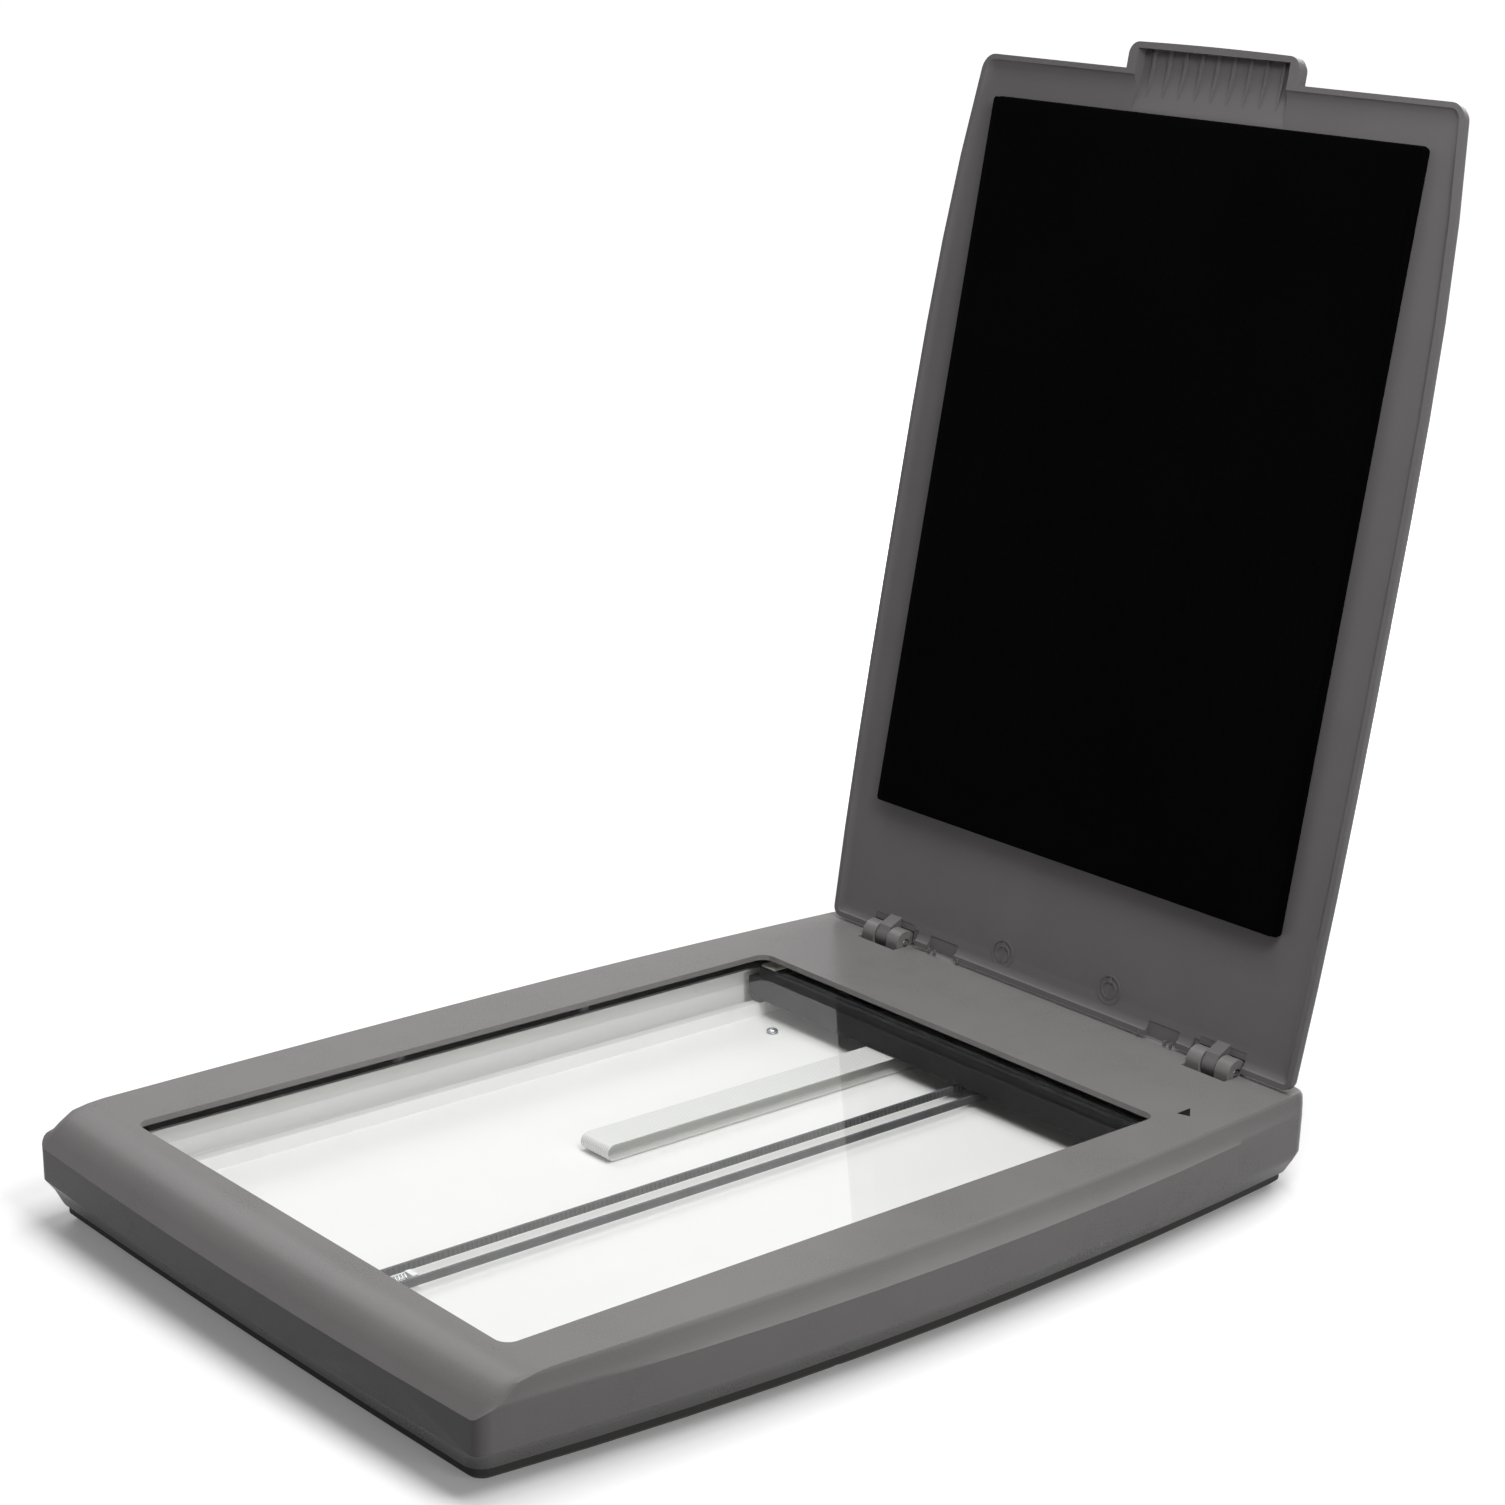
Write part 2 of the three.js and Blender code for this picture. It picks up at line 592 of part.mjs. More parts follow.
function trayPostPlaces() {
  const x = tray.half - tray.postInset;
  const front = tray.front + tray.postFront;
  const rear = tray.rear - tray.postRear;
  return [[-x, front], [x, front], [-x, rear], [x, rear]];
}

function boardPostPlaces() {
  const { left, right, front, rear, margin } = board;
  return [
    [left + margin, front + margin], [right - margin, rear - margin],
  ];
}

function motorEarPlaces() {
  return [
    [motorX, belt.rearY - motor.earReach + motor.ear], [motorX, belt.rearY + motor.earReach - motor.ear],
  ];
}

function bottomPan() {
  const top = -undercut.edgeDrop - gap;
  const chamferTop = -pan.bottomDrop + pan.chamfer;
  let body = loft([
    panRing(pan.inset, top),
    panRing(pan.inset, chamferTop),
    panRing(pan.inset + pan.chamfer, -pan.bottomDrop),
  ]).subtract(
    loft([panRing(pan.inset + pan.wall, top + overrun), panRing(pan.inset + pan.wall + pan.chamfer / 2, panFloor)]),
  );
  const into = panFloor - pan.floor / 2;
  for (const [x, y] of caseScrewPlaces()) {
    body = body.add(drum(caseScrew.seat, x, y, into, top, smallSteps));
  }
  for (const [x, y] of trayPostPlaces()) {
    body = body.add(drum(tray.postRadius, x, y, into, trayFloor - tray.floor - gap, smallSteps));
  }
  for (const [x, y] of boardPostPlaces()) {
    body = body.add(drum(board.post, x, y, into, -board.topDrop - board.thickness - gap, smallSteps));
  }
  for (const [x, y] of motorEarPlaces()) {
    body = body.add(drum(motor.ear, x, y, into, motorFlangeBottom() - gap, smallSteps));
  }
  body = body.add(drum(axle.radius + pan.wall, belt.x, belt.rearY, into, wheelBottom() - gap, smallSteps));
  for (const [x, y] of caseScrewPlaces()) {
    const headTop = -pan.bottomDrop + caseScrew.headHeight + 2 * gap;
    body = body
      .subtract(drum(caseScrew.head + gap, x, y, -pan.bottomDrop - overrun, headTop, smallSteps))
      .subtract(drum(caseScrew.radius + gap, x, y, headTop - overrun, overrun, smallSteps));
  }
  const bored = [...trayPostPlaces(), ...boardPostPlaces(), ...motorEarPlaces()];
  for (const [x, y] of bored) {
    body = body.subtract(drum(smallScrew.radius + gap, x, y, panFloor + gap, 0, smallSteps));
  }
  body = body.subtract(drum(axle.radius + gap, belt.x, belt.rearY, panFloor, 0, smallSteps));
  for (const [x, y] of footPlaces()) {
    const recessTop = -pan.bottomDrop + foot.recess;
    body = body.subtract(drum(foot.radius + gap, x, y, -pan.bottomDrop - overrun, recessTop));
  }
  return body;
}

function rubberFoot(x, y) {
  const top = foot.recess + base.height - pan.bottomDrop - gap;
  const profile = [
    [0, 0], [foot.radius - foot.rim, 0], [foot.radius, foot.rim], [foot.radius, top], [0, top],
  ].map(([r, z]) => new THREE.Vector2(r, z));
  const geometry = new THREE.LatheGeometry(profile, roundSteps);
  geometry.rotateX(Math.PI / 2);
  geometry.translate(x, y, -base.height);
  return solid(geometry);
}

// A screw that points up or down from its head seat, with a domed head
function screw(sizes, x, y, seat, direction) {
  const { radius, head, headHeight, length } = sizes;
  const profile = [
    [0, -headHeight], [head * screwDomeShare, -headHeight], [head, -headHeight / 2], [head, 0], [radius, 0],
    [radius, length - radius], [0, length],
  ].map(([r, z]) => new THREE.Vector2(r, z));
  const geometry = new THREE.LatheGeometry(profile, smallSteps);
  geometry.rotateX((direction * Math.PI) / 2);
  geometry.translate(x, y, seat);
  return solid(geometry);
}

// Inner tray and guide rod

function trayRing(inset, z) {
  return planRing({
    centre: 0,
    lowShift: 0,
    half: tray.half - inset,
    low: tray.front + inset,
    high: tray.rear - inset,
    lowCorner: tray.corner - inset,
    highCorner: Math.max(tray.rearCorner - inset, tray.rearCorner * leastCornerShare),
    lowSag: 0,
    highSag: 0,
    power: 2,
    lowBow: 0,
    sideZ: z,
    lowZ: z,
    highZ: z,
  });
}

function chassisTray() {
  const bottom = trayFloor - tray.floor;
  const rim = -tray.rimDrop;
  const rearInside = tray.rear - tray.wall;
  let body = loft([trayRing(0, rim), trayRing(0, -tray.bevelDrop), trayRing(tray.bevel, bottom)]).subtract(
    loft([
      trayRing(tray.wall, rim + overrun),
      trayRing(tray.wall, -tray.bevelDrop),
      trayRing(tray.wall + tray.innerBevel, trayFloor),
    ]),
  );
  const railLow = trayFloor - tray.floor / 2;
  const railLeft = tray.railX - tray.railHalf;
  const railRight = tray.railX + tray.railHalf;
  const railFront = tray.front + tray.railInset;
  body = body.add(block(railLeft, railRight, railFront, rearInside, railLow, -tray.railTop));
  const seatY = springPostY();
  body = body.add(
    block(belt.x - spring.post, belt.x + spring.post, seatY, seatY + spring.post, railLow, springZ() + spring.radius),
  );
  for (const [x, y] of trayPostPlaces()) {
    body = body.subtract(drum(smallScrew.radius + gap, x, y, bottom - overrun, trayFloor + overrun, smallSteps));
  }
  body = body.subtract(
    shaft(rod.radius + gap, rod.x, -rod.drop, tray.front - overrun, tray.rear + overrun, smallSteps),
  );
  const notchHalf = pulley.flange + gap;
  const slotTop = -belt.drop + belt.height;
  const notchFront = rearInside - tray.bevel;
  body = body.subtract(
    block(belt.x - notchHalf, belt.x + notchHalf, notchFront, tray.rear + overrun, trayFloor, slotTop),
  );
  const ribbonHalf = ribbon.width / 2 + 2 * gap;
  return body.subtract(
    block(ribbon.x - ribbonHalf, ribbon.x + ribbonHalf, notchFront, tray.rear + overrun, trayFloor, slotTop),
  );
}

function guideRod() {
  return shaft(rod.radius, rod.x, -rod.drop, tray.front + rod.frontInset, tray.rear + rod.overhang);
}

// Belt drive

function wheelBottom() {
  return -gears.topDrop - gears.width;
}

function motorFlangeBottom() {
  return -gears.topDrop + gap;
}

// Spur gear outline with involute flanks, centred on the origin, a tooth pointing along +X
function gearShape(teeth) {
  const pitch = (teeth * gears.module) / 2;
  const pressure = (gears.pressure * Math.PI) / 180;
  const baseRadius = pitch * Math.cos(pressure);
  const tip = pitch + gears.module * gears.addendum;
  const root = pitch - gears.module * gears.dedendum;
  const involute = (angle) => Math.tan(angle) - angle;
  const halfTooth = Math.PI / (2 * teeth) - gears.backlash / (4 * pitch);
  const flankAngle = (radius) => {
    const angle = radius > baseRadius ? Math.acos(baseRadius / radius) : 0;
    return halfTooth + involute(pressure) - involute(angle);
  };
  const radii = [root, (pitch + baseRadius) / 2, tip];
  const points = [];
  for (let tooth = 0; tooth < teeth; tooth++) {
    const centre = (2 * Math.PI * tooth) / teeth;
    for (const radius of radii) {
      const angle = centre - flankAngle(radius);
      points.push([radius * Math.cos(angle), radius * Math.sin(angle)]);
    }
    for (const radius of [...radii].reverse()) {
      const angle = centre + flankAngle(radius);
      points.push([radius * Math.cos(angle), radius * Math.sin(angle)]);
    }
  }
  return polygon(points.filter(([a, b], i) => {
    const [c, d] = points[(i + 1) % points.length];
    return Math.hypot(a - c, b - d) > gears.samePoint;
  }));
}

// Toothed drum between two flanges, for the belt
function beltPulley(bottomZ, lowFlangeZ) {
  const seat = belt.inner - gap;
  const root = seat - pulley.toothDepth;
  const radii = [seat, seat, root, root];
  const points = [];
  for (let tooth = 0; tooth < pulley.teeth; tooth++) {
    toothShares.forEach((share, i) => {
      const angle = (2 * Math.PI * (tooth + share)) / pulley.teeth;
      points.push([radii[i] * Math.cos(angle), radii[i] * Math.sin(angle)]);
    });
  }
  const low = -belt.drop - belt.height / 2 - gap;
  const high = -belt.drop + belt.height / 2 + gap;
  return prism(polygon(points), bottomZ, high + pulley.flangeHeight)
    .add(drum(pulley.flange, 0, 0, high, high + pulley.flangeHeight))
    .add(drum(pulley.flange, 0, 0, lowFlangeZ, low));
}

function driveGear() {
  const top = -gears.topDrop;
  const wheel = prism(gearShape(gears.wheelTeeth), wheelBottom(), top);
  const low = -belt.drop - belt.height / 2 - gap;
  return wheel
    .add(beltPulley(top - gears.width / 2, low - pulley.flangeHeight))
    .subtract(drum(pulley.bore, 0, 0, wheelBottom() - overrun, overrun, smallSteps));
}

function motorPinion() {
  const bottom = wheelBottom() - gears.pinionExtra;
  const top = motorFlangeBottom() - gap;
  const shaftTop = motorFlangeBottom() + motor.earThickness;
  const turn = Math.PI / gears.pinionTeeth;
  const geometry = meshGeometry(prism(gearShape(gears.pinionTeeth), bottom, top));
  geometry.rotateZ(turn);
  return solid(geometry).add(drum(motor.shaft, 0, 0, bottom, shaftTop, smallSteps));
}

function stepperMotor() {
  const bottom = motorFlangeBottom();
  const top = bottom + motor.height;
  let body = drum(motor.radius, motorX, belt.rearY, bottom, top, 2 * roundSteps).add(
    drum(motor.boss, motorX, belt.rearY, top - overrun, top + motor.bossHeight),
  );
  const earEnd = motor.earReach;
  body = body.add(
    prism(
      roundedRectangle(
        motorX - motor.ear, motorX + motor.ear, belt.rearY - earEnd, belt.rearY + earEnd, motor.ear - gap,
      ),
      bottom,
      bottom + motor.earThickness,
    ),
  );
  const earTop = bottom + motor.earThickness;
  for (const [x, y] of motorEarPlaces()) {
    body = body.subtract(drum(smallScrew.radius + gap, x, y, bottom - overrun, earTop + overrun, smallSteps));
  }
  return body.subtract(
    drum(motor.shaft + gap, motorX, belt.rearY, bottom - overrun, earTop + gap, smallSteps),
  );
}

function gearAxle() {
  const bottom = panFloor + gap;
  const gearTop = -belt.drop + belt.height / 2 + gap + pulley.flangeHeight;
  const top = gearTop + gap;
  return drum(axle.radius, belt.x, belt.rearY, bottom, top + axle.headHeight, smallSteps).add(
    drum(axle.head, belt.x, belt.rearY, top, top + axle.headHeight, smallSteps),
  );
}

function loopShape(radius) {
  const shape = new THREE.Shape();
  shape.moveTo(belt.x + radius, belt.frontY);
  shape.lineTo(belt.x + radius, belt.rearY);
  shape.absarc(belt.x, belt.rearY, radius, 0, Math.PI);
  shape.lineTo(belt.x - radius, belt.frontY);
  shape.absarc(belt.x, belt.frontY, radius, Math.PI, 2 * Math.PI);
  return shape;
}

function driveBelt() {
  const low = -belt.drop - belt.height / 2;
  const high = low + belt.height;
  return prism(loopShape(belt.inner + belt.thickness), low, high).subtract(
    prism(loopShape(belt.inner), low - overrun, high + overrun),
  );
}

function idlerPulley() {
  const low = -belt.drop - belt.height / 2 - gap;
  return beltPulley(low - pulley.flangeHeight / 2, low - pulley.flangeHeight).subtract(
    drum(pulley.bore, 0, 0, -base.height, overrun, smallSteps),
  );
}

function idlerBracket() {
  const low = trayFloor + gap;
  const plateTop = low + idler.thickness;
  const top = -belt.drop + belt.height / 2 + gap + pulley.flangeHeight;
  const rear = belt.frontY + idler.tail;
  const tailHalf = spring.radius + spring.wire;
  return block(belt.x - idler.halfWidth, belt.x + idler.halfWidth, belt.frontY - idler.halfWidth, rear, low, plateTop)
    .add(drum(idler.pin, belt.x, belt.frontY, plateTop - idler.thickness / 2, top, smallSteps))
    .add(block(belt.x - tailHalf, belt.x + tailHalf, rear - idler.thickness, rear, low, springZ() + spring.radius));
}

function springZ() {
  return trayFloor + gap + idler.thickness + spring.radius + spring.wire;
}

function springPostY() {
  return belt.frontY + idler.tail + spring.length + gap;
}

// Compression spring between the idler bracket and its post: one tube on a helix
function tensionSpring() {
  const { ringsPerTurn, sides } = spring;
  const start = belt.frontY + idler.tail + gap + spring.wire;
  const run = spring.length - gap - 2 * spring.wire;
  const total = spring.turns * ringsPerTurn;
  const centre = (i) => {
    const angle = (2 * Math.PI * i) / ringsPerTurn;
    const y = start + (run * i) / total;
    return new THREE.Vector3(belt.x + spring.radius * Math.cos(angle), y, springZ() + spring.radius * Math.sin(angle));
  };
  const points = [];
  const faces = [];
  for (let i = 0; i <= total; i++) {
    const angle = (2 * Math.PI * i) / ringsPerTurn;
    const outward = new THREE.Vector3(Math.cos(angle), 0, Math.sin(angle));
    for (let j = 0; j < sides; j++) {
      const round = (2 * Math.PI * j) / sides;
      const offset = outward.clone().multiplyScalar(spring.wire * Math.cos(round));
      offset.y = spring.wire * Math.sin(round);
      points.push(centre(i).add(offset).toArray());
    }
  }
  for (let i = 0; i < total; i++) {
    for (let j = 0; j < sides; j++) {
      const next = (j + 1) % sides;
      const a = i * sides + j;
      const b = i * sides + next;
      faces.push(a, b + sides, a + sides, a, b, b + sides);
    }
  }
  for (let j = 1; j + 1 < sides; j++) {
    faces.push(0, j + 1, j);
    faces.push(total * sides, total * sides + j, total * sides + j + 1);
  }
  const geometry = new THREE.BufferGeometry();
  geometry.setAttribute("position", new THREE.Float32BufferAttribute(points.flat(), 3));
  geometry.setIndex(faces);
  return solid(geometry);
}

// Carriage, drawn at its home place by the hinge

function carriageFrame() {
  const low = -carriage.floorDrop;
  const front = carriage.homeY - carriage.half;
  const rear = carriage.homeY + carriage.half;
  const wall = carriage.wall;
  let body = block(carriage.left, carriage.right, front, rear, low, -carriage.rimDrop).subtract(
    block(
      carriage.left + wall, carriage.right - wall, front + wall, rear - wall, low + carriage.floor,
      -carriage.rimDrop + overrun,
    ),
  );
  body = body.add(
    block(
      rod.x - carriage.saddle, rod.x + carriage.saddle, front + carriage.saddleFront, rear,
      -carriage.saddleDrop, low + carriage.floor / 2,
    ),
  );
  const railTop = -tray.railTop + gap;
  body = body.add(
    block(tray.railX - carriage.shoe, tray.railX + carriage.shoe, front, rear, railTop, low + carriage.floor / 2),
  );
  const bore = rod.radius + gap;
  return body
    .subtract(shaft(bore, rod.x, -rod.drop, front - overrun, rear + overrun, smallSteps))
    .subtract(block(rod.x - bore, rod.x + bore, front - overrun, rear + overrun, -base.height, -rod.drop));
}

function sensorHousing() {
  const front = carriage.homeY - sensor.depth / 2;
  const rear = carriage.homeY + sensor.depth / 2;
  const slotHalf = sensor.slot / 2;
  const rebateHalf = sensor.glassWidth / 2 + gap;
  const top = -sensor.topDrop;
  const slotEnd = sensor.half - slider.length;
  const glassSeat = top - sensor.glassThickness - gap;
  return block(-sensor.half, sensor.half, front, rear, -sensor.bottomDrop, top)
    .subtract(
      block(
        -slotEnd, slotEnd, carriage.homeY - slotHalf, carriage.homeY + slotHalf,
        top - sensor.slotDepth, top + overrun,
      ),
    )
    .subtract(
      block(
        -slotEnd, slotEnd, carriage.homeY - rebateHalf, carriage.homeY + rebateHalf, glassSeat, top + overrun,
      ),
    );
}

function sensorBar(direction) {
  const centre = carriage.homeY + direction * (sensor.slot / 2 - sensor.barSetback - sensor.bar / 2);
  const low = -sensor.topDrop - sensor.slotDepth + gap;
  const end = sensor.half - slider.length - gap;
  return block(-end, end, centre - sensor.bar / 2, centre + sensor.bar / 2, low, low + sensor.barHeight);
}

function sensorGlass() {
  const half = sensor.glassWidth / 2;
  const end = sensor.half - slider.length - gap;
  const top = -sensor.topDrop;
  return block(-end, end, carriage.homeY - half, carriage.homeY + half, top - sensor.glassThickness, top);
}

function glassSlider(direction) {
  const outer = direction * (sensor.half - gap);
  const inner = direction * (sensor.half - slider.length + gap);
  const low = -sensor.topDrop + gap;
  const front = carriage.homeY - slider.depth / 2;
  const chamfer = slider.thickness / 2;
  const top = low + slider.thickness;
  const rear = carriage.homeY + slider.depth / 2;
  const outline = polygon([
    [front, low], [rear, low], [rear, low + chamfer], [rear - 2 * chamfer, top], [front + 2 * chamfer, top],
    [front, low + chamfer],
  ]);
  return sideways(outline, Math.min(outer, inner), Math.max(outer, inner));
}

// Bowed leaf spring that presses the sensor up against the glass
function leafSpring(direction) {
  const low = -carriage.floorDrop + carriage.floor + gap;
  const curve = (share) => low + leaf.rise * Math.sin(Math.PI * share);
  const centre = direction * leaf.x;
  const start = centre - leaf.length / 2;
  const lower = [];
  const upper = [];
  for (let i = 0; i <= bendSteps; i++) {
    const share = i / bendSteps;
    const x = start + leaf.length * share;
    lower.push([x, curve(share)]);
    upper.unshift([x, curve(share) + leaf.thickness]);
  }
  const geometry = new THREE.ExtrudeGeometry(polygon([...lower, ...upper]), { depth: leaf.width, bevelEnabled: false });
  geometry.rotateX(Math.PI / 2);
  geometry.translate(0, carriage.homeY + leaf.width / 2, 0);
  return solid(geometry);
}

function beltClamp() {
  const centre = carriage.homeY + clamp.setback;
  const slotHalf = belt.thickness / 2 + gap;
  const outer = slotHalf + clamp.finger;
  const top = -carriage.floorDrop - gap;
  return block(strandX - outer, strandX + outer, centre - clamp.half, centre + clamp.half, -clamp.drop, top).subtract(
    block(
      strandX - slotHalf, strandX + slotHalf, centre - clamp.half - overrun, centre + clamp.half + overrun,
      -clamp.drop - overrun, -belt.drop + belt.height / 2 + gap,
    ),
  );
}

// Flat ribbon cable: along the tray floor, over in a loop, and back to the carriage
function ribbonCable() {
  const half = ribbon.thickness / 2;
  const radius = (ribbon.lowDrop - ribbon.highDrop) / 2;
  const path = [
    [board.front + ribbon.tail, -board.topDrop + gap + half],
    [tray.rear + gap, -board.topDrop + gap + half],
    [tray.rear - ribbon.ramp, -ribbon.lowDrop],
    [ribbon.turnY, -ribbon.lowDrop],
  ];
  for (let i = 1; i < bendSteps; i++) {
    const angle = (Math.PI * i) / bendSteps;
    path.push([
      ribbon.turnY - radius * Math.sin(angle),
      -ribbon.lowDrop + radius * (1 - Math.cos(angle)),
    ]);
  }
  path.push([ribbon.turnY, -ribbon.highDrop], [carriage.homeY, -ribbon.highDrop]);
  const edge = (sign) =>
    path.map(([y, z], i) => {
      const [y0, z0] = path[Math.max(i - 1, 0)];
      const [y1, z1] = path[Math.min(i + 1, path.length - 1)];
      const length = Math.hypot(y1 - y0, z1 - z0);
      return [y - (sign * half * (z1 - z0)) / length, z + (sign * half * (y1 - y0)) / length];
    });
  const outline = polygon([...edge(1), ...edge(-1).reverse()]);
  return sideways(outline, ribbon.x - ribbon.width / 2, ribbon.x + ribbon.width / 2);
}

// Electronics

function mainBoard() {
  const top = -board.topDrop;
  let body = block(board.left, board.right, board.front, board.rear, top - board.thickness, top);
  for (const [x, y] of boardPostPlaces()) {
    body = body.subtract(drum(smallScrew.radius + gap, x, y, top - board.thickness - overrun, top + overrun, smallSteps));
  }
  return body;
}

function dataSocket() {
  const face = base.rear - socket.faceSetback;
  const z = socketCentre();
  const back = face - socket.length;
  const mouth = block(
    socket.x - socket.mouthWidth / 2, socket.x + socket.mouthWidth / 2, face - socket.mouthDepth, face + overrun,
    z - socket.mouthHeight / 2, z + socket.mouthHeight / 2,
  );
  const tongue = block(
    socket.x - socket.tongueWidth / 2, socket.x + socket.tongueWidth / 2,
    face - socket.mouthDepth - overrun, face - socket.tongueSetback,
    z - socket.tongueHeight / 2, z + socket.tongueHeight / 2,
  );
  return block(
    socket.x - socket.width / 2, socket.x + socket.width / 2, back, face,
    z - socket.height / 2, z + socket.height / 2,
  ).subtract(mouth).add(tongue);
}

// Hinges

// A post that drops into its sleeve: two knuckles on a shoulder, a stem and a stop foot
function hingePost(x) {
  const shoulder = -post.shoulderDrop;
  const earSpace = hinge.earHalf + hinge.earGap;
  const reach = hinge.knuckle;
  const outline = new THREE.Shape();
  outline.moveTo(hinge.y - reach, shoulder);
  outline.lineTo(hinge.y + reach, shoulder);
  outline.lineTo(hinge.y + reach, hinge.height);
  outline.absarc(hinge.y, hinge.height, reach, 0, Math.PI);
  const stemReach = post.stemDepth / 2;
  return sideways(outline, x - hinge.half, x + hinge.half)
    .subtract(
      block(
        x - earSpace, x + earSpace, hinge.y - reach - overrun, hinge.y + reach + overrun,
        hinge.height - hinge.ear - gap, hinge.height + reach + overrun,
      ),
    )
    .add(
      block(
        x - post.stemHalf, x + post.stemHalf, hinge.y - stemReach, hinge.y + stemReach,
        postBottom, shoulder + gap,
      ),
    )
    .add(
      block(
        x - post.lugHalf, x + post.lugHalf, hinge.y - stemReach, hinge.y + stemReach,
        postBottom, postBottom + post.lug,
      ),
    )
    .subtract(
      barrel(hinge.pin + gap, x - hinge.half - overrun, x + hinge.half + overrun, hinge.y, hinge.height, smallSteps),
    );
}

function hingePin(x) {
  const inner = Math.sign(x) * (Math.abs(x) - hinge.half + gap);
  const outer = Math.sign(x) * (Math.abs(x) + hinge.half - gap);
  return barrel(hinge.pin, Math.min(inner, outer), Math.max(inner, outer), hinge.y, hinge.height, smallSteps);
}

// Lid, in the lid frame

function lidLevel(inset, z) {
  return {
    centre: 0,
    lowShift: 0,
    half: lid.half - inset,
    low: lid.hingeEnd + inset,
    high: lid.frontEnd - inset,
    lowCorner: Math.max(lid.hingeCorner - inset, lid.hingeCorner * leastCornerShare),
    highCorner: Math.max(lid.corner - inset, lid.corner * leastCornerShare),
    lowSag: lid.hingeSag,
    highSag: lid.frontSag,
    power: 3,
    lowBow: 0,
    sideZ: z,
    lowZ: z,
    highZ: z,
  };
}

function lidRing(inset, z) {
  return planRing(lidLevel(inset, z));
}

function lidOuter() {
  const rings = [lidRing(0, lidRim), lidRing(0, lidRim - lid.side)];
  const round = lid.edge - lid.side;
  rings.push(lidRing(round * edgeRound.inShare, lidRim - lid.side - round * edgeRound.downShare));
  const crownRise = lid.crown - lid.edge;
  crownInShares.forEach((share, i) => {
    rings.push(lidRing(round + lid.crownSpan * share, lidRim - lid.edge - crownRise * crownDepthShares[i]));
  });
  rings.push(lidRing(round + lid.crownSpan, lidRim - lid.crown));
  return loft(rings);
}

function lidTray() {
  const rings = [lidRing(lid.rim, lidRim + overrun)];
  sweepInShares.forEach((share, i) => {
    rings.push(lidRing(lid.rim + lid.sweep * share, lidRim - lid.tray * sweepDepthShares[i]));
  });
  return loft(rings);
}

function matBounds(margin) {
  return [
    -mat.width / 2 - margin, mat.width / 2 + margin,
    matCentre - mat.length / 2 - margin, matCentre + mat.length / 2 + margin,
  ];
}

// Shallow pocket behind the mat, crossed by ribs that carry it
function matPocket() {
  const [x0, x1, y0, y1] = matBounds(-pocket.inset);
  const low = lidFloor - pocket.depth;
  let body = block(x0, x1, y0, y1, low, lidFloor + overrun);
  for (let i = 1; i <= pocket.longRibs; i++) {
    const x = x0 + ((x1 - x0) * i) / (pocket.longRibs + 1);
    body = body.subtract(block(x - pocket.rib / 2, x + pocket.rib / 2, y0 - overrun, y1 + overrun, low - overrun, lidFloor));
  }
  for (let i = 1; i <= pocket.crossRibs; i++) {
    const y = y0 + ((y1 - y0) * i) / (pocket.crossRibs + 1);
    body = body.subtract(block(x0 - overrun, x1 + overrun, y - pocket.rib / 2, y + pocket.rib / 2, low - overrun, lidFloor));
  }
  return body;
}

function tabShape(inset) {
  const half = tab.half - inset;
  const end = lid.frontEnd + tab.reach - inset;
  const corner = tab.corner - inset / 2;
  const shape = new THREE.Shape();
  shape.moveTo(-half, lid.frontEnd - tab.root);
  shape.lineTo(half, lid.frontEnd - tab.root);
  shape.lineTo(half, end - corner);
  shape.absarc(half - corner, end - corner, corner, 0, Math.PI / 2);
  shape.quadraticCurveTo(0, end + tab.bow, corner - half, end);
  shape.absarc(corner - half, end - corner, corner, Math.PI / 2, Math.PI);
  return shape;
}

// Finger tab: a thicker tongue whose well slopes up to the mat between thin grip ribs
function lidTab() {
  const low = lidRim - tab.thickness;
  const inner = lidRim - lid.tray - gap;
  return prism(tabShape(0), low + tab.wellWall, lidRim)
    .add(prism(tabShape(tab.wellWall / 2), low, low + tab.wellWall))
    .subtract(
      block(-tab.half - overrun, tab.half + overrun, lid.frontEnd - tab.root - overrun,
        lid.frontEnd - tab.reach / 2, inner, lidRim + overrun),
    );
}

function tabWell() {
  const end = lid.frontEnd + tab.reach - tab.wellWall;
  const deep = lidRim - tab.wellDepth;
  const matEdge = matCentre + mat.length / 2 + gap;
  const outline = polygon([
    [matEdge, lidFloor], [matEdge + tab.wellWall, lidFloor - gap], [end - tab.reach, deep], [end, deep],
    [end, lidRim + overrun], [matEdge, lidRim + overrun],
  ]);
  return sideways(outline, -tab.wellHalf, tab.wellHalf);
}

function tabRibs() {
  const end = lid.frontEnd + tab.reach - tab.wellWall / 2;
  const deep = lidRim - tab.wellDepth;
  const top = deep + tab.ribHeight;
  const start = end - tab.ribLength;
  const outline = polygon([
    [start, lidFloor - tab.ribHeight], [start + tab.ribRamp, deep - overrun], [end, deep - overrun],
    [end, top], [end - tab.ribCrest, top],
  ]);
  const ribs = [];
  for (let i = 0; i < tab.ribs; i++) {
    const x = (i - (tab.ribs - 1) / 2) * tab.ribPitch;
    ribs.push(sideways(outline, x - tab.ribWidth / 2, x + tab.ribWidth / 2));
  }
  return ribs;
}

function hingeEar(x) {
  const reach = earNotch.height + overrun;
  const back = lidRim - lid.edge + gap;
  const outline = polygon([
    [0, hinge.ear], [hinge.webReach, hinge.webHeight], [reach, lidFloor], [reach, back], [0, back],
  ]);
  const x0 = x - hinge.earHalf;
  const x1 = x + hinge.earHalf;
  return barrel(hinge.ear, x0, x1, 0, 0)
    .add(sideways(outline, x0, x1))
    .subtract(barrel(hinge.pin + gap, x0 - overrun, x1 + overrun, 0, 0, smallSteps));
}

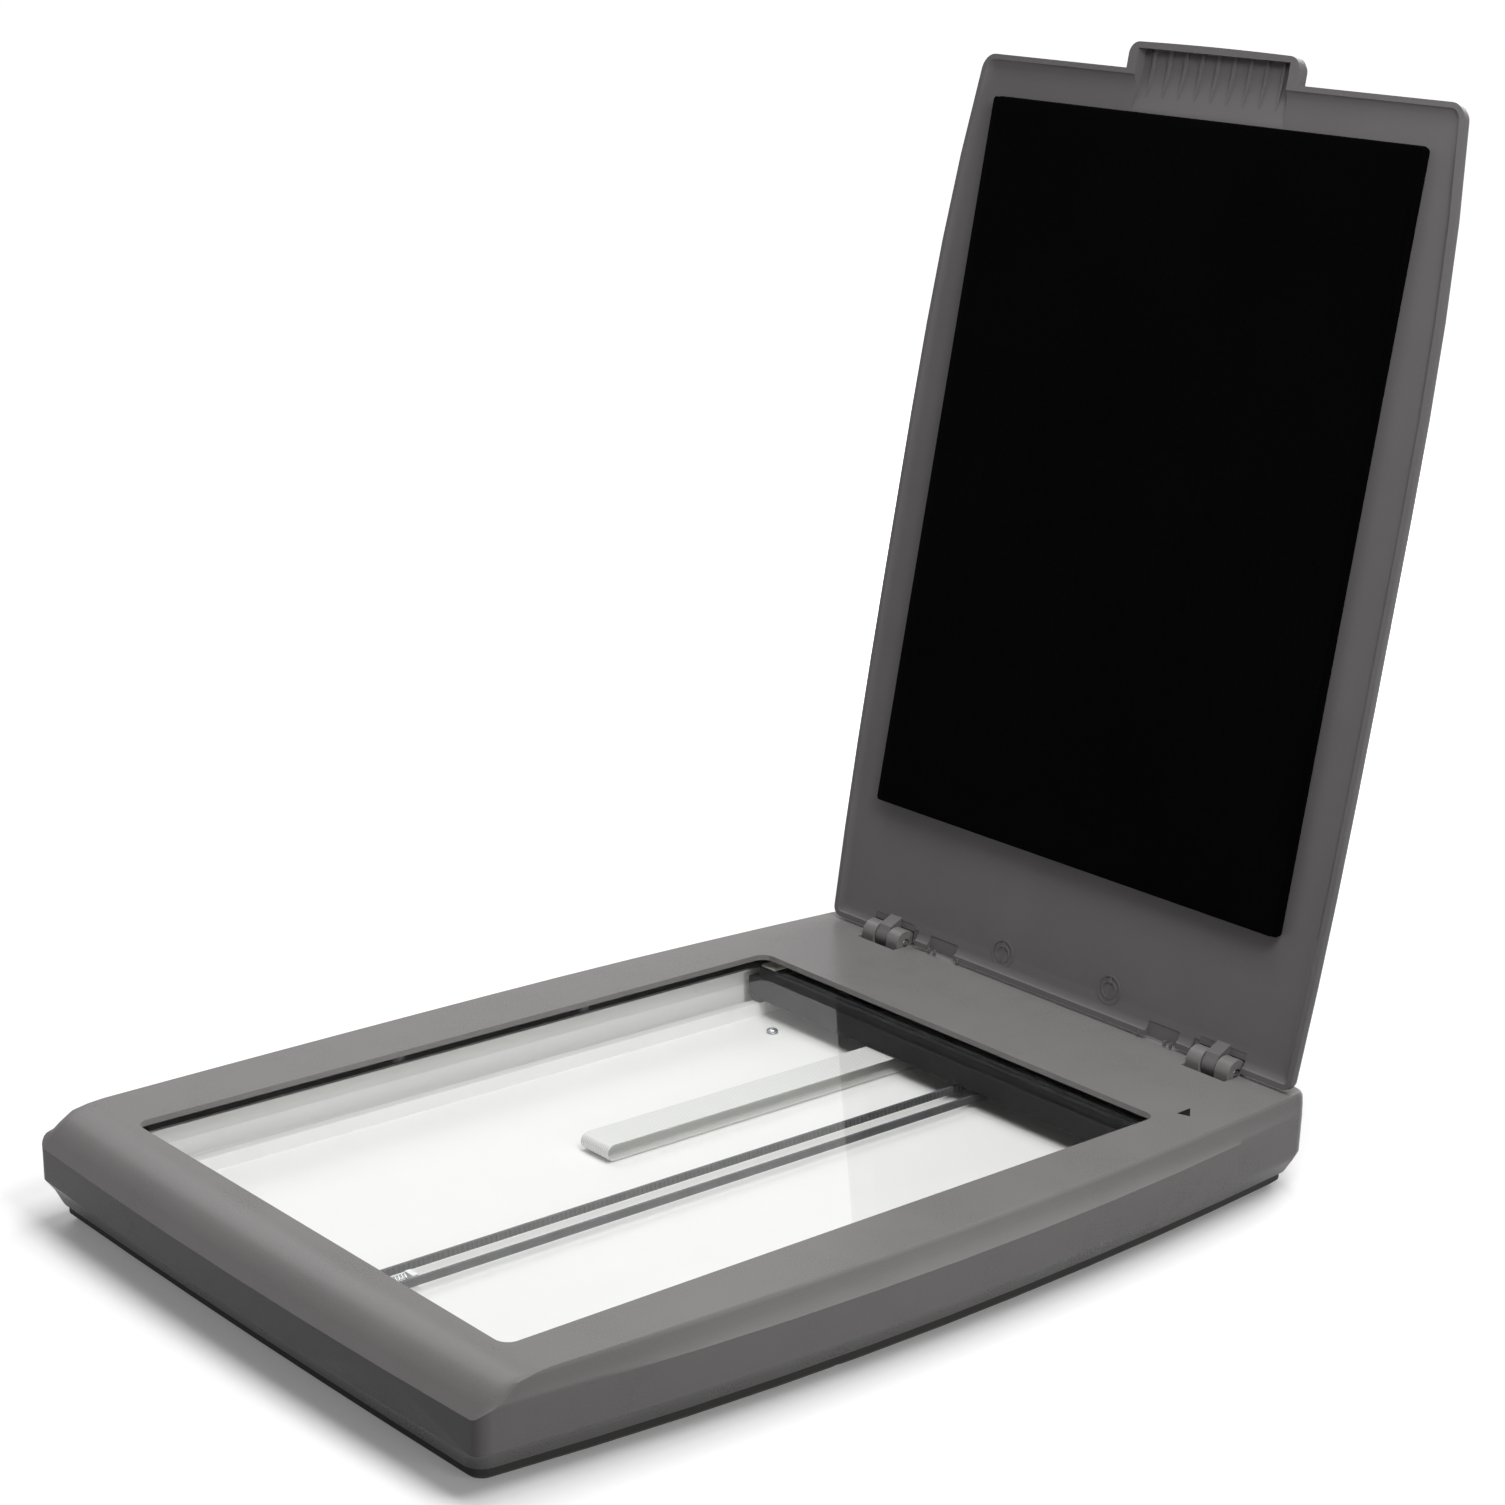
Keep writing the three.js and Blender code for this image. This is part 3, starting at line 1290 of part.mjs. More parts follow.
function lidShell() {
  let shell = lidOuter().add(lidTab()).subtract(lidTray()).subtract(matPocket()).subtract(tabWell());
  for (const rib of tabRibs()) shell = shell.add(rib);
  const endCut = lid.hingeEnd + lid.rim + lid.sweep / 2;
  const postEdge = hinge.x - hinge.half - earNotch.sideClearance;
  const farEdge = hinge.x + hinge.half + earNotch.sideClearance;
  const notchRadius = hinge.knuckle + earNotch.clearance;
  for (const side of [-1, 1]) {
    const cut = (from, to, end, low) => {
      const x0 = Math.min(side * from, side * to);
      const x1 = Math.max(side * from, side * to);
      shell = shell.subtract(block(x0, x1, -lid.edge, end, low, lidRim + overrun));
    };
    cut(rimNotch.from, rimNotch.to, endCut, lidFloor);
    cut(rimNotch.nearPost, postEdge + gap, endCut, lidFloor);
    cut(postEdge, farEdge, earNotch.through, lidRim - lid.crown - overrun);
    cut(postEdge, farEdge, earNotch.height, lidFloor);
    const [from, to] = side < 0 ? [-farEdge, -postEdge] : [postEdge, farEdge];
    shell = shell.subtract(barrel(notchRadius, from, to, 0, 0)).add(hingeEar(side * hinge.x));
  }
  return shell;
}

function matPlate(low, high) {
  const [x0, x1, y0, y1] = matBounds(0);
  return prism(roundedRectangle(x0, x1, y0, y1, mat.corner), low, high);
}

// Assembly

const part = new THREE.Group();
const casing = new THREE.Group();
part.add(casing);

function piece(name, body, look, parent = casing) {
  const mesh = new THREE.Mesh(meshGeometry(body), finish(look));
  mesh.name = name;
  parent.add(mesh);
  return mesh;
}

function placed(name, body, look, x, y) {
  piece(name, body, look).position.set(x, y, 0);
}

function addBase() {
  piece("top_cover", topCover(), "casing");
  piece("bottom_pan", bottomPan(), "underside");
  piece("scan_glass", block(...glassBounds(0), glassBottom, glassTop), "glass");
  const stripY = bed.length / 2 + whiteStrip.setback;
  const strip = block(
    -whiteStrip.width / 2, whiteStrip.width / 2, stripY, stripY + whiteStrip.depth,
    -bed.plate, -bed.plate + whiteStrip.thickness,
  );
  piece("calibration_strip", strip, "white");
  const corners = ["front_left", "front_right", "rear_left", "rear_right"];
  footPlaces().forEach(([x, y], i) => piece("foot_" + corners[i], rubberFoot(x, y), "rubber"));
  caseScrewPlaces().forEach(([x, y], i) => {
    const seat = -pan.bottomDrop + caseScrew.headHeight + gap;
    piece("case_screw_" + (i + 1), screw(caseScrew, x, y, seat, 1), "zinc");
  });
}

function addChassis() {
  piece("chassis_tray", chassisTray(), "pale");
  piece("guide_rod", guideRod(), "steel");
  trayPostPlaces().forEach(([x, y], i) => {
    piece("tray_screw_" + (i + 1), screw(smallScrew, x, y, trayFloor + gap, -1), "zinc");
  });
  piece("main_board", mainBoard(), "board");
  boardPostPlaces().forEach(([x, y], i) => {
    piece("board_screw_" + (i + 1), screw(smallScrew, x, y, -board.topDrop + gap, -1), "zinc");
  });
  piece("data_socket", dataSocket(), "zinc");
  piece("ribbon_cable", ribbonCable(), "ribbon");
}

function addDrive() {
  piece("stepper_motor", stepperMotor(), "zinc");
  motorEarPlaces().forEach(([x, y], i) => {
    const seat = motorFlangeBottom() + motor.earThickness + gap;
    piece("motor_screw_" + (i + 1), screw(smallScrew, x, y, seat, -1), "zinc");
  });
  placed("motor_pinion", motorPinion(), "brass", motorX, belt.rearY);
  placed("drive_gear", driveGear(), "nylon", belt.x, belt.rearY);
  piece("gear_axle", gearAxle(), "steel");
  piece("drive_belt", driveBelt(), "beltBlack");
  placed("idler_pulley", idlerPulley(), "nylon", belt.x, belt.frontY);
  piece("idler_bracket", idlerBracket(), "zinc");
  piece("tension_spring", tensionSpring(), "steel");
}

function addCarriage() {
  piece("carriage_frame", carriageFrame(), "black");
  piece("sensor_housing", sensorHousing(), "black");
  piece("sensor_glass", sensorGlass(), "glass");
  piece("light_guide", sensorBar(-1), "white");
  piece("lens_bar", sensorBar(1), "black");
  piece("glass_slider_left", glassSlider(-1), "nylon");
  piece("glass_slider_right", glassSlider(1), "nylon");
  piece("pressure_spring_left", leafSpring(-1), "steel");
  piece("pressure_spring_right", leafSpring(1), "steel");
  piece("belt_clamp", beltClamp(), "black");
}

function addLid() {
  piece("hinge_post_left", hingePost(-hinge.x), "casing");
  piece("hinge_post_right", hingePost(hinge.x), "casing");
  piece("hinge_pin_left", hingePin(-hinge.x), "steel");
  piece("hinge_pin_right", hingePin(hinge.x), "steel");
  const cover = new THREE.Group();
  cover.position.copy(axisPoint);
  cover.rotation.x = Math.PI / 2 - (hinge.lean * Math.PI) / 180;
  casing.add(cover);
  const face = lidRim + mat.proud;
  piece("lid_shell", lidShell(), "casing", cover);
  piece("mat_foam", matPlate(lidFloor + gap, face - mat.sheet - gap), "matBlack", cover);
  piece("mat_sheet", matPlate(face - mat.sheet, face), "matBlack", cover);
}

addBase();
addChassis();
addDrive();
addCarriage();
addLid();

// Stand the scanner on its feet, centred on the space that it takes up with its lid open
part.updateMatrixWorld(true);
const extent = new THREE.Box3().setFromObject(part, true);
const middle = extent.getCenter(new THREE.Vector3());
casing.position.set(-middle.x, -middle.y, -extent.min.z);

export default part;
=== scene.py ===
import json
import math

import bmesh
import bpy
from mathutils import Matrix, Vector, noise


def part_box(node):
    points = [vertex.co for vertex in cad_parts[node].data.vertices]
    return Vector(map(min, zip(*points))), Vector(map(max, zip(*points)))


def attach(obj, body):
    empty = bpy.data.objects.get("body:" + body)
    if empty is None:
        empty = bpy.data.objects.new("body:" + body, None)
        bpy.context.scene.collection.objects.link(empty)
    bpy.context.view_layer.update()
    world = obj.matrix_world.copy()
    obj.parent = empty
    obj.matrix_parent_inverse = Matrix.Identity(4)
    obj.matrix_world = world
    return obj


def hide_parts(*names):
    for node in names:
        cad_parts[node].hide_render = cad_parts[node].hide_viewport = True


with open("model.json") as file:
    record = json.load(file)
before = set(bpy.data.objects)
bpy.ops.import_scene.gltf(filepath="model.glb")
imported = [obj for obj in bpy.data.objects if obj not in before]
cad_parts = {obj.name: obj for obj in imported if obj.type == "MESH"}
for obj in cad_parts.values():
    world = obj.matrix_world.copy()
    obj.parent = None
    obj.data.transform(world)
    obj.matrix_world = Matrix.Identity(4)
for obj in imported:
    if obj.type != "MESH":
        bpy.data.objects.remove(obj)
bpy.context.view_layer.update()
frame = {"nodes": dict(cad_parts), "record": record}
nodes = frame["nodes"]
body_of = {
    node: body for body, members in frame["record"]["behaviour"]["bodies"].items() for node in members
}

# One millimetre, in Blender's metres
mm = 0.001

# Case frame: origin at the centre of the window, on the flat top of the base, in millimetres
glass_recess = 2.6
glass_behind_window = 2
glass_low, glass_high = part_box("scan_glass")
case_origin = Vector(
    (
        (glass_low.x + glass_high.x) / 2,
        (glass_low.y + glass_high.y) / 2 - glass_behind_window * mm,
        glass_high.z + glass_recess * mm,
    )
)
case_frame = Matrix.Translation(case_origin) @ Matrix.Scale(mm, 4)

# Lid frame: origin on the hinge axis, Y along the lid, Z out of its inner face, in millimetres
hinge_y = 202.2
hinge_height = 1.2
lid_lean = 9.44
lid_rim = -0.7
lid_floor = -2.7
lid_frame = (
    case_frame
    @ Matrix.Translation((0, hinge_y, hinge_height))
    @ Matrix.Rotation(math.radians(90 - lid_lean), 4, "X")
)

# Frame of a piece that is drawn by itself, before it is set in its place
own_frame = Matrix.Identity(4)

# Camera, solved from the photograph, in the case frame
camera_place = (812.1, -686.5, 447.9)
camera_right = Vector((0.667, 0.744, 0.036))
camera_back = Vector((0.710, -0.649, 0.273))
image_side = 1505
focal_pixels = 3188.51
centre_column = 783.68
centre_row = 731.89
film_width = 36
nearest_seen = 0.05
farthest_seen = 50

# Lamps: place, target and side in metres, power in watts
lamps = {
    "overhead": ((0.0, 0.16, 1.3), (0, 0, 0), 0.8, 8.8),
    "from_front": ((0.4, -0.1, 0.64), (0, 0.05, 0.15), 0.25, 2.2),
    "from_left": ((-1.4, 0.1, 1.45), (0, 0, 0.1), 0.9, 8.5),
    "from_right": ((1.1, -0.1, 0.3), (0, 0, 0.1), 0.4, 2.4),
    "from_behind": ((-0.3, 1.4, 0.85), (0, 0.2, 0.2), 0.8, 9),
}
room_light = 0.1
white = (1, 1, 1, 1)

# White table: its size, and from where to where its shadow fades out, in metres
table_size = 12
shadow_reach = (0.42, 0.9)
table_glow = 0.16
table_roughness = 0.9
table_grain = 3

# Copies of the CAD nodes: corners closer than weld, in metres, become one,
# and faces that differ by less than flat_angle, in degrees, become one face
weld = 1e-6
flat_angle = 0.2

# Faces that meet at less than smooth_angle are shaded as one, in degrees,
# and edges sharper than rounded_angle are rounded
smooth_angle = 33
rounded_angle = smooth_angle + 7

# Width of the rounded edges in millimetres, with a smaller one for small parts
edge_steps = 2
small_edge = 0.12
edge_widths = {
    "top_cover": 0.45, "lid_shell": 0.6, "bottom_pan": 0.5, "chassis_tray": 0.4,
    "hinge_post_left": 0.35, "hinge_post_right": 0.35,
    "foot_front_left": 0.3, "foot_front_right": 0.3, "foot_rear_left": 0.3, "foot_rear_right": 0.3,
    "carriage_frame": 0.3, "sensor_housing": 0.25, "scan_glass": 0.25,
    "data_socket": 0.15, "main_board": 0.1, "drive_belt": 0.1, "calibration_strip": 0.05,
}

# Document mat: a foam core under a thin face sheet.
# Here and below, a name that ends in parts is a divisor: an edge, a rise or a depth is one part
# in so many of another size
mat = {
    "width": 214.4, "length": 293.6, "corner": 1.5, "corner_steps": 4,
    "core_low": -2.4, "sheet_low": 2.5, "top": 3.3, "glue": 0.15, "core_fill": 0.9, "sheet_fill": 1,
    "edge_round": 0.35, "edge_steps": 3, "thickness_parts": 3, "squeeze": 0.45,
    "cells": (44, 60), "flat_normal": 0.99, "wave": 0.07, "wave_period": 70, "calm_border": 12,
}

# Screws: head and shank radius, head height and length, and the cross in the head
small_screw = {
    "head": 2.4, "height": 1.6, "shank": 1.1, "length": 6, "cross": 1.6, "points_up": False,
}
screw_kinds = {
    "case_screw": {
        "head": 2.5, "height": 1.8, "shank": 1.3, "length": 20, "cross": 1.7, "points_up": True,
    },
    "tray_screw": small_screw,
    "board_screw": small_screw,
    "motor_screw": small_screw,
}
screw_sides = 32
cross_width = 0.62
cross_depth = 1.0
thread_pitch = 0.7

# Shape of every screw: shares of the shank's radius and of the head's height, and angles of its crown
tip_share = 0.3
head_side = 0.4
crown_foot = 0.45
crown_angles = (0.1, 0.45, 0.8, 1.15, 1.4)

# Each screw stopped at its own angle, worked out from its place: radians per metre in X and in Y
screw_turns = (100, 40)

# Compression spring of the belt
spring = {"wire": 0.28, "turns": 10, "rings": 16, "sides": 10}

# Arrow mark on the base, its corners in the case frame
arrow_mark = [(110.7, 156.7), (110.5, 164.2), (115.5, 158.4)]
arrow_rise = 0.06

# Dials and small ribs that are moulded into the lid, in the lid frame
stamps = {
    "places": [(-28, 10), (30, 12)], "rings": [5.6, 3.4], "line": 0.3, "line_parts": 3,
    "arrow": 1.2, "rise": 0.4, "steps": 40,
}
hinge_nubs = {
    "places": [-66.5, -63.4, -50, 50, 63.4, 66.5], "half": 0.55, "half_parts": 3,
    "reach": 1.1, "along": 0.6,
}

# Belt teeth on the straight strands
belt = {
    "x": 11, "inner": 5.2, "front": -151.5, "rear": 190, "level": -23, "end_room": 8,
    "pitch": 2.03, "tooth": (0.5, 0.9, 2.6), "sunk_parts": 4,
}

# Parts on the circuit board: centre x and y, width, depth and height, look
board_top = -25.6
board_blocks = [
    ((-59, 188.5), (12, 12, 1.5), "chip"),
    ((-22, 184.5), (10.5, 8, 1.2), "chip"),
    ((-35, 183.6), (19, 4.2, 2.2), "connector"),
    ((-19.5, 193.5), (8.5, 4.5, 4.2), "connector"),
    ((-46.5, 185.6), (4.6, 2.2, 1.3), "can"),
]
block_parts = 10
chip_pins = {"pitch": 1.0, "width": 0.35, "width_parts": 6, "reach": 0.9, "height": 0.5, "end_room": 1}
board_chips = {
    "rows": 2, "count": 9, "start": (-66, 197), "pitch": (1.6, 3.4), "size": (0.8, 1.6, 0.6),
    "height_parts": 8,
}
board_cans = {
    "places": [(-30.5, 197.5), (-63.5, 202)], "radius": 2.5, "height": 6.2, "steps": 28,
    "foot_share": 0.9, "foot_height": 0.4, "crown_share": 0.85, "crown_height": 0.5,
}

# Contacts of the data socket
data_socket = {"x": -45, "face": 214.4, "centre": -19.85, "tongue_half": 1.6, "tongue_front": 4.8}
contact = {"offsets": (-1.25, 1.25), "width": 0.9, "length": 4.2, "rise": 0.14, "rise_parts": 3}


class Plug:
    """One output of a material node, so that shader maths reads as plain expressions."""

    def __init__(self, bench, socket):
        self.bench = bench
        self.socket = socket

    def maths(self, operation, *operands):
        inputs = dict(enumerate(operands))
        return self.bench.node("ShaderNodeMath", {"operation": operation}, inputs)

    def __add__(self, other):
        return self.maths("ADD", self, other)

    def __radd__(self, other):
        return self.maths("ADD", other, self)

    def __sub__(self, other):
        return self.maths("SUBTRACT", self, other)

    def __rsub__(self, other):
        return self.maths("SUBTRACT", other, self)

    def __mul__(self, other):
        return self.maths("MULTIPLY", self, other)

    def __rmul__(self, other):
        return self.maths("MULTIPLY", other, self)

    def __truediv__(self, other):
        return self.maths("DIVIDE", self, other)

    def __rtruediv__(self, other):
        return self.maths("DIVIDE", other, self)

    def sine(self):
        return self.maths("SINE", self)

    def clipped(self):
        return self.maths("MINIMUM", self.maths("MAXIMUM", self, 0), 1)


class Bench:
    """Builds one material, or the light of the room, from nodes."""

    def __init__(self, name, shelf="materials"):
        self.work = getattr(bpy.data, shelf).new(name)
        self.work.use_nodes = True
        self.tree = self.work.node_tree
        self.tree.nodes.clear()

    def node(self, kind, settings=None, inputs=None, output=0):
        """A node of any kind: its settings come first, then values or links for its sockets."""
        made = self.tree.nodes.new(kind)
        for key, value in (settings or {}).items():
            if key == "stops":
                fill_ramp(made.color_ramp, value)
            else:
                setattr(made, key, value)
        for key, value in (inputs or {}).items():
            if isinstance(value, Plug):
                self.tree.links.new(value.socket, made.inputs[key])
            else:
                made.inputs[key].default_value = value
        return Plug(self, made.outputs[output])

    def place(self):
        return self.node("ShaderNodeTexCoord", output="Object")

    def along(self, axis):
        """Place along one axis, in millimetres."""
        return self.node("ShaderNodeSeparateXYZ", {}, {"Vector": self.place()}, axis) / mm

    def noise(self, period, detail, stretch=(1, 1, 1)):
        """Even noise with features about period millimetres across, stretched along an axis."""
        per_metre = 1 / (period * mm)
        scaled = self.node(
            "ShaderNodeMapping",
            {},
            {"Vector": self.place(), "Scale": tuple(per_metre * share for share in stretch)},
        )
        return self.node("ShaderNodeTexNoise", {}, {"Vector": scaled, "Scale": 1, "Detail": detail})

    def cells(self, size, smooth=0.5):
        """Distance to the middle of the nearest of many cells about size millimetres across."""
        return self.node(
            "ShaderNodeTexVoronoi",
            {"feature": "SMOOTH_F1"},
            {"Vector": self.place(), "Scale": 1 / (size * mm), "Smoothness": smooth},
            "Distance",
        )

    def ramp(self, value, stops):
        return self.node("ShaderNodeValToRGB", {"stops": stops}, {"Fac": value})

    def uneven(self, level, *patterns):
        """A level that each pattern moves up and down by its own reach, kept between 0 and 1."""
        middle = 0.5
        for pattern, reach in patterns:
            level = level + (pattern - middle) * reach
        return level.clipped()

    def bump(self, height, depth):
        """Normal of a relief that is depth millimetres deep."""
        relief = {"Height": height, "Distance": depth * mm, "Strength": 1}
        return self.node("ShaderNodeBump", {}, relief, "Normal")

    def surface(self, inputs):
        return self.finish(self.node("ShaderNodeBsdfPrincipled", {}, inputs, "BSDF"))

    def finish(self, shader, kind="ShaderNodeOutputMaterial"):
        end = self.tree.nodes.new(kind)
        self.tree.links.new(shader.socket, end.inputs["Surface"])
        return self.work


def fill_ramp(ramp, stops):
    while len(ramp.elements) < len(stops):
        ramp.elements.new(1)
    for element, (position, color) in zip(ramp.elements, stops):
        element.position = position
        element.color = color


def linear(value):
    """A picture's grey or colour share from 0 to 255, as the light that it stands for."""
    share = value / 255
    return share / 12.92 if share <= 0.04045 else ((share + 0.055) / 1.055) ** 2.4


def tone(red, green, blue):
    return (linear(red), linear(green), linear(blue), 1)


def grey(share):
    """A grey given by the share of light that it sends back."""
    return (share, share, share, 1)


def shaded(color, share):
    """A colour made darker or lighter by a share."""
    return tuple(channel * share for channel in color[:3]) + (1,)


def moulded_plastic(name, color, roughness, grain, depth, mottle):
    """Plastic with the fine pebbled grain that a spark-eroded mould gives it."""
    pit = 1.6 * grain
    patch = 60 * grain
    patch_tint, pebble_tint = 0.6, 0.4
    pebble_gloss, patch_gloss = 0.2, 0.12
    pebble_relief, pit_relief = 0.6, 0.4
    bench = Bench(name)
    pebbles = bench.noise(grain, detail=3)
    pits = bench.cells(pit)
    patches = bench.noise(patch, detail=3)
    tint = bench.ramp(
        patches * patch_tint + pebbles * pebble_tint,
        [(0.3, shaded(color, 1 - mottle)), (0.7, shaded(color, 1 + mottle))],
    )
    return bench.surface(
        {
            "Base Color": tint,
            "Roughness": bench.uneven(roughness, (pebbles, pebble_gloss), (patches, patch_gloss)),
            "Normal": bench.bump(pebbles * pebble_relief + pits * pit_relief, depth),
            "Specular IOR Level": plastic_shine,
        }
    )


def drawn_metal(name, color, roughness, axis, scratch):
    """Metal with fine lines along one axis, from drawing or rolling."""
    drawn_out = 0.04
    stain = 40 * scratch
    dark, light = 0.86, 1.08
    line_gloss, stain_gloss = 0.2, 0.15
    relief = 0.01
    bench = Bench(name)
    stretch = tuple(drawn_out if i == axis else 1 for i in range(3))
    lines = bench.noise(scratch, detail=2, stretch=stretch)
    stains = bench.noise(stain, detail=3)
    tint = bench.ramp(lines, [(0.25, shaded(color, dark)), (0.75, shaded(color, light))])
    return bench.surface(
        {
            "Base Color": tint,
            "Metallic": 1,
            "Roughness": bench.uneven(roughness, (lines, line_gloss), (stains, stain_gloss)),
            "Normal": bench.bump(lines, relief),
        }
    )


def threaded_zinc():
    """Screws: rolled thread along Z, with the milky stains of zinc plate."""
    stain = 3
    roughness, stain_gloss = 0.36, 0.3
    thread_relief, stain_relief = 0.5, 0.1
    relief = 0.16
    bench = Bench("zinc_thread")
    turn = (bench.along("Z") * (2 * math.pi / thread_pitch)).sine()
    stains = bench.noise(stain, detail=3)
    tint = bench.ramp(stains, [(0.3, tone(150, 153, 158)), (0.7, tone(184, 186, 188))])
    return bench.surface(
        {
            "Base Color": tint,
            "Metallic": 1,
            "Roughness": bench.uneven(roughness, (stains, stain_gloss)),
            "Normal": bench.bump(turn * thread_relief + stains * stain_relief, relief),
        }
    )


def soft_rubber(name, color, grain):
    """Rubber with a fine speckle, a little dusty in broad patches."""
    dust_patch = 30 * grain
    dusty = 1.6
    roughness, speck_gloss = 0.78, 0.3
    relief = 0.08
    bench = Bench(name)
    specks = bench.noise(grain, detail=3)
    dust = bench.noise(dust_patch, detail=4)
    tint = bench.ramp(dust, [(0.35, color), (0.8, shaded(color, dusty))])
    return bench.surface(
        {
            "Base Color": tint,
            "Roughness": bench.uneven(roughness, (specks, speck_gloss)),
            "Normal": bench.bump(specks, relief),
        }
    )


def mat_face():
    """Black sheet with a fine even emboss, nearly without shine."""
    pore, pore_blend = 1.3, 0.6
    patch = 60
    roughness, pore_gloss = 0.92, 0.1
    relief = 0.05
    bench = Bench("mat_face_black")
    pores = bench.cells(pore, pore_blend)
    patches = bench.noise(patch, detail=3)
    tint = bench.ramp(patches, [(0.3, grey(0.0004)), (0.7, grey(0.0010))])
    return bench.surface(
        {
            "Base Color": tint,
            "Roughness": bench.uneven(roughness, (pores, pore_gloss)),
            "Specular IOR Level": mat_shine,
            "Normal": bench.bump(pores, relief),
        }
    )


def mat_core():
    """Closed-cell foam, seen as a thin band under the sheet's edge."""
    cell, cell_blend = 0.7, 0.2
    roughness = 0.95
    relief = 0.2
    bench = Bench("mat_foam_black")
    cells = bench.cells(cell, cell_blend)
    tint = bench.ramp(cells, [(0.1, tone(2, 2, 2)), (0.8, tone(4, 4, 4))])
    return bench.surface(
        {
            "Base Color": tint,
            "Roughness": roughness,
            "Specular IOR Level": mat_shine,
            "Normal": bench.bump(cells, relief),
        }
    )


def clear_glass():
    """Flat float glass: clear straight on, more mirror-like at a glancing angle, faintly smudged."""
    smudge_size = 45
    mirror_share, smudge_share = 0.08, 0.05
    polish = 0.02
    mirror_index = 1.3
    bench = Bench("float_glass")
    smudge = bench.noise(smudge_size, detail=4)
    mirror = bench.node("ShaderNodeBsdfGlossy", {}, {"Roughness": polish, "Color": white}, "BSDF")
    clear = bench.node("ShaderNodeBsdfTransparent", {}, {"Color": glass_tint}, "BSDF")
    edge_on = bench.node("ShaderNodeFresnel", {}, {"IOR": mirror_index})
    factor = (edge_on * (mirror_share + smudge * smudge_share)).clipped()
    return bench.finish(bench.node("ShaderNodeMixShader", {}, {"Fac": factor, 1: clear, 2: mirror}))


def circuit_board():
    """Green solder mask over a lattice of tracks, on woven glass fibre."""
    track, track_gap = 9, 0.05
    thread = 0.8
    track_tint, weave_tint = 0.8, 0.2
    weave_relief = 0.2
    roughness = 0.35
    relief = 0.05
    bench = Bench("board_green")
    copper = bench.node(
        "ShaderNodeTexBrick",
        {},
        {"Vector": bench.place(), "Scale": 1 / (track * mm), "Mortar Size": track_gap},
        "Fac",
    )
    weave = bench.noise(thread, detail=2)
    tint = bench.ramp(
        copper * track_tint + weave * weave_tint, [(0.1, tone(24, 80, 52)), (0.9, tone(48, 118, 76))]
    )
    return bench.surface(
        {
            "Base Color": tint,
            "Roughness": roughness,
            "Normal": bench.bump(copper + weave * weave_relief, relief),
        }
    )


def striped_ribbon():
    """Flat cable: parallel conductors a millimetre apart, in white film."""
    roughness = 0.4
    relief = 0.06
    half = 0.5
    bench = Bench("ribbon_film")
    lines = (bench.along("X") * (2 * math.pi)).sine() * half + half
    tint = bench.ramp(lines, [(0.2, tone(205, 206, 204)), (0.8, tone(236, 236, 232))])
    return bench.surface({"Base Color": tint, "Roughness": roughness, "Normal": bench.bump(lines, relief)})


# Tones and shine that several materials share
casing_grey = tone(124, 121, 121)
# The lid is moulded from the casing's plastic. Its grey is the casing grey painted darker, standing in for
# the shade on the lid's inner face
lid_grey_painted_shade = tone(109, 106, 107)
table_bounce = tone(110, 110, 110)
glass_tint = (0.998, 1, 0.999, 1)
plastic_shine = 0.12
mat_shine = 0.02

# Plastics: name, colour, roughness, size and depth of the grain in millimetres, share of mottling
plastics = {
    "casing": ("casing_grey_plastic", casing_grey, 0.3, 0.5, 0.03, 0.05),
    # Lid: the casing's plastic with painted shade, a darker copy of the casing grey
    "lid": ("lid_plastic_darkened_for_shade", lid_grey_painted_shade, 0.34, 0.5, 0.03, 0.05),
    "underside": ("underside_dark_plastic", tone(76, 75, 74), 0.6, 0.7, 0.05, 0.05),
    "pale": ("tray_white_plastic", tone(243, 243, 241), 0.5, 0.6, 0.02, 0.01),
    "white": ("reference_white", tone(248, 248, 246), 0.6, 0.4, 0.01, 0.01),
    "black": ("carriage_black_plastic", tone(28, 28, 30), 0.5, 0.5, 0.03, 0.15),
    "nylon": ("nylon_gear", tone(233, 230, 218), 0.38, 0.5, 0.02, 0.03),
    "chip": ("chip_resin", tone(30, 30, 31), 0.5, 0.25, 0.02, 0.1),
    "connector": ("connector_resin", tone(222, 214, 192), 0.45, 0.3, 0.02, 0.04),
    "mark": ("printed_black", tone(18, 18, 18), 0.5, 0.4, 0.01, 0.1),
}

# Metals: name, colour, roughness, axis that the lines follow, and their width in millimetres
metals = {
    "steel": ("bright_steel", tone(196, 199, 203), 0.24, 1, 0.3),
    "zinc": ("zinc_plate", tone(172, 175, 178), 0.38, 0, 0.5),
    "brass": ("turned_brass", tone(203, 172, 100), 0.3, 2, 0.3),
    "gold": ("contact_gold", tone(222, 186, 110), 0.25, 1, 0.2),
    "can": ("brushed_can", tone(190, 192, 196), 0.3, 0, 0.25),
}

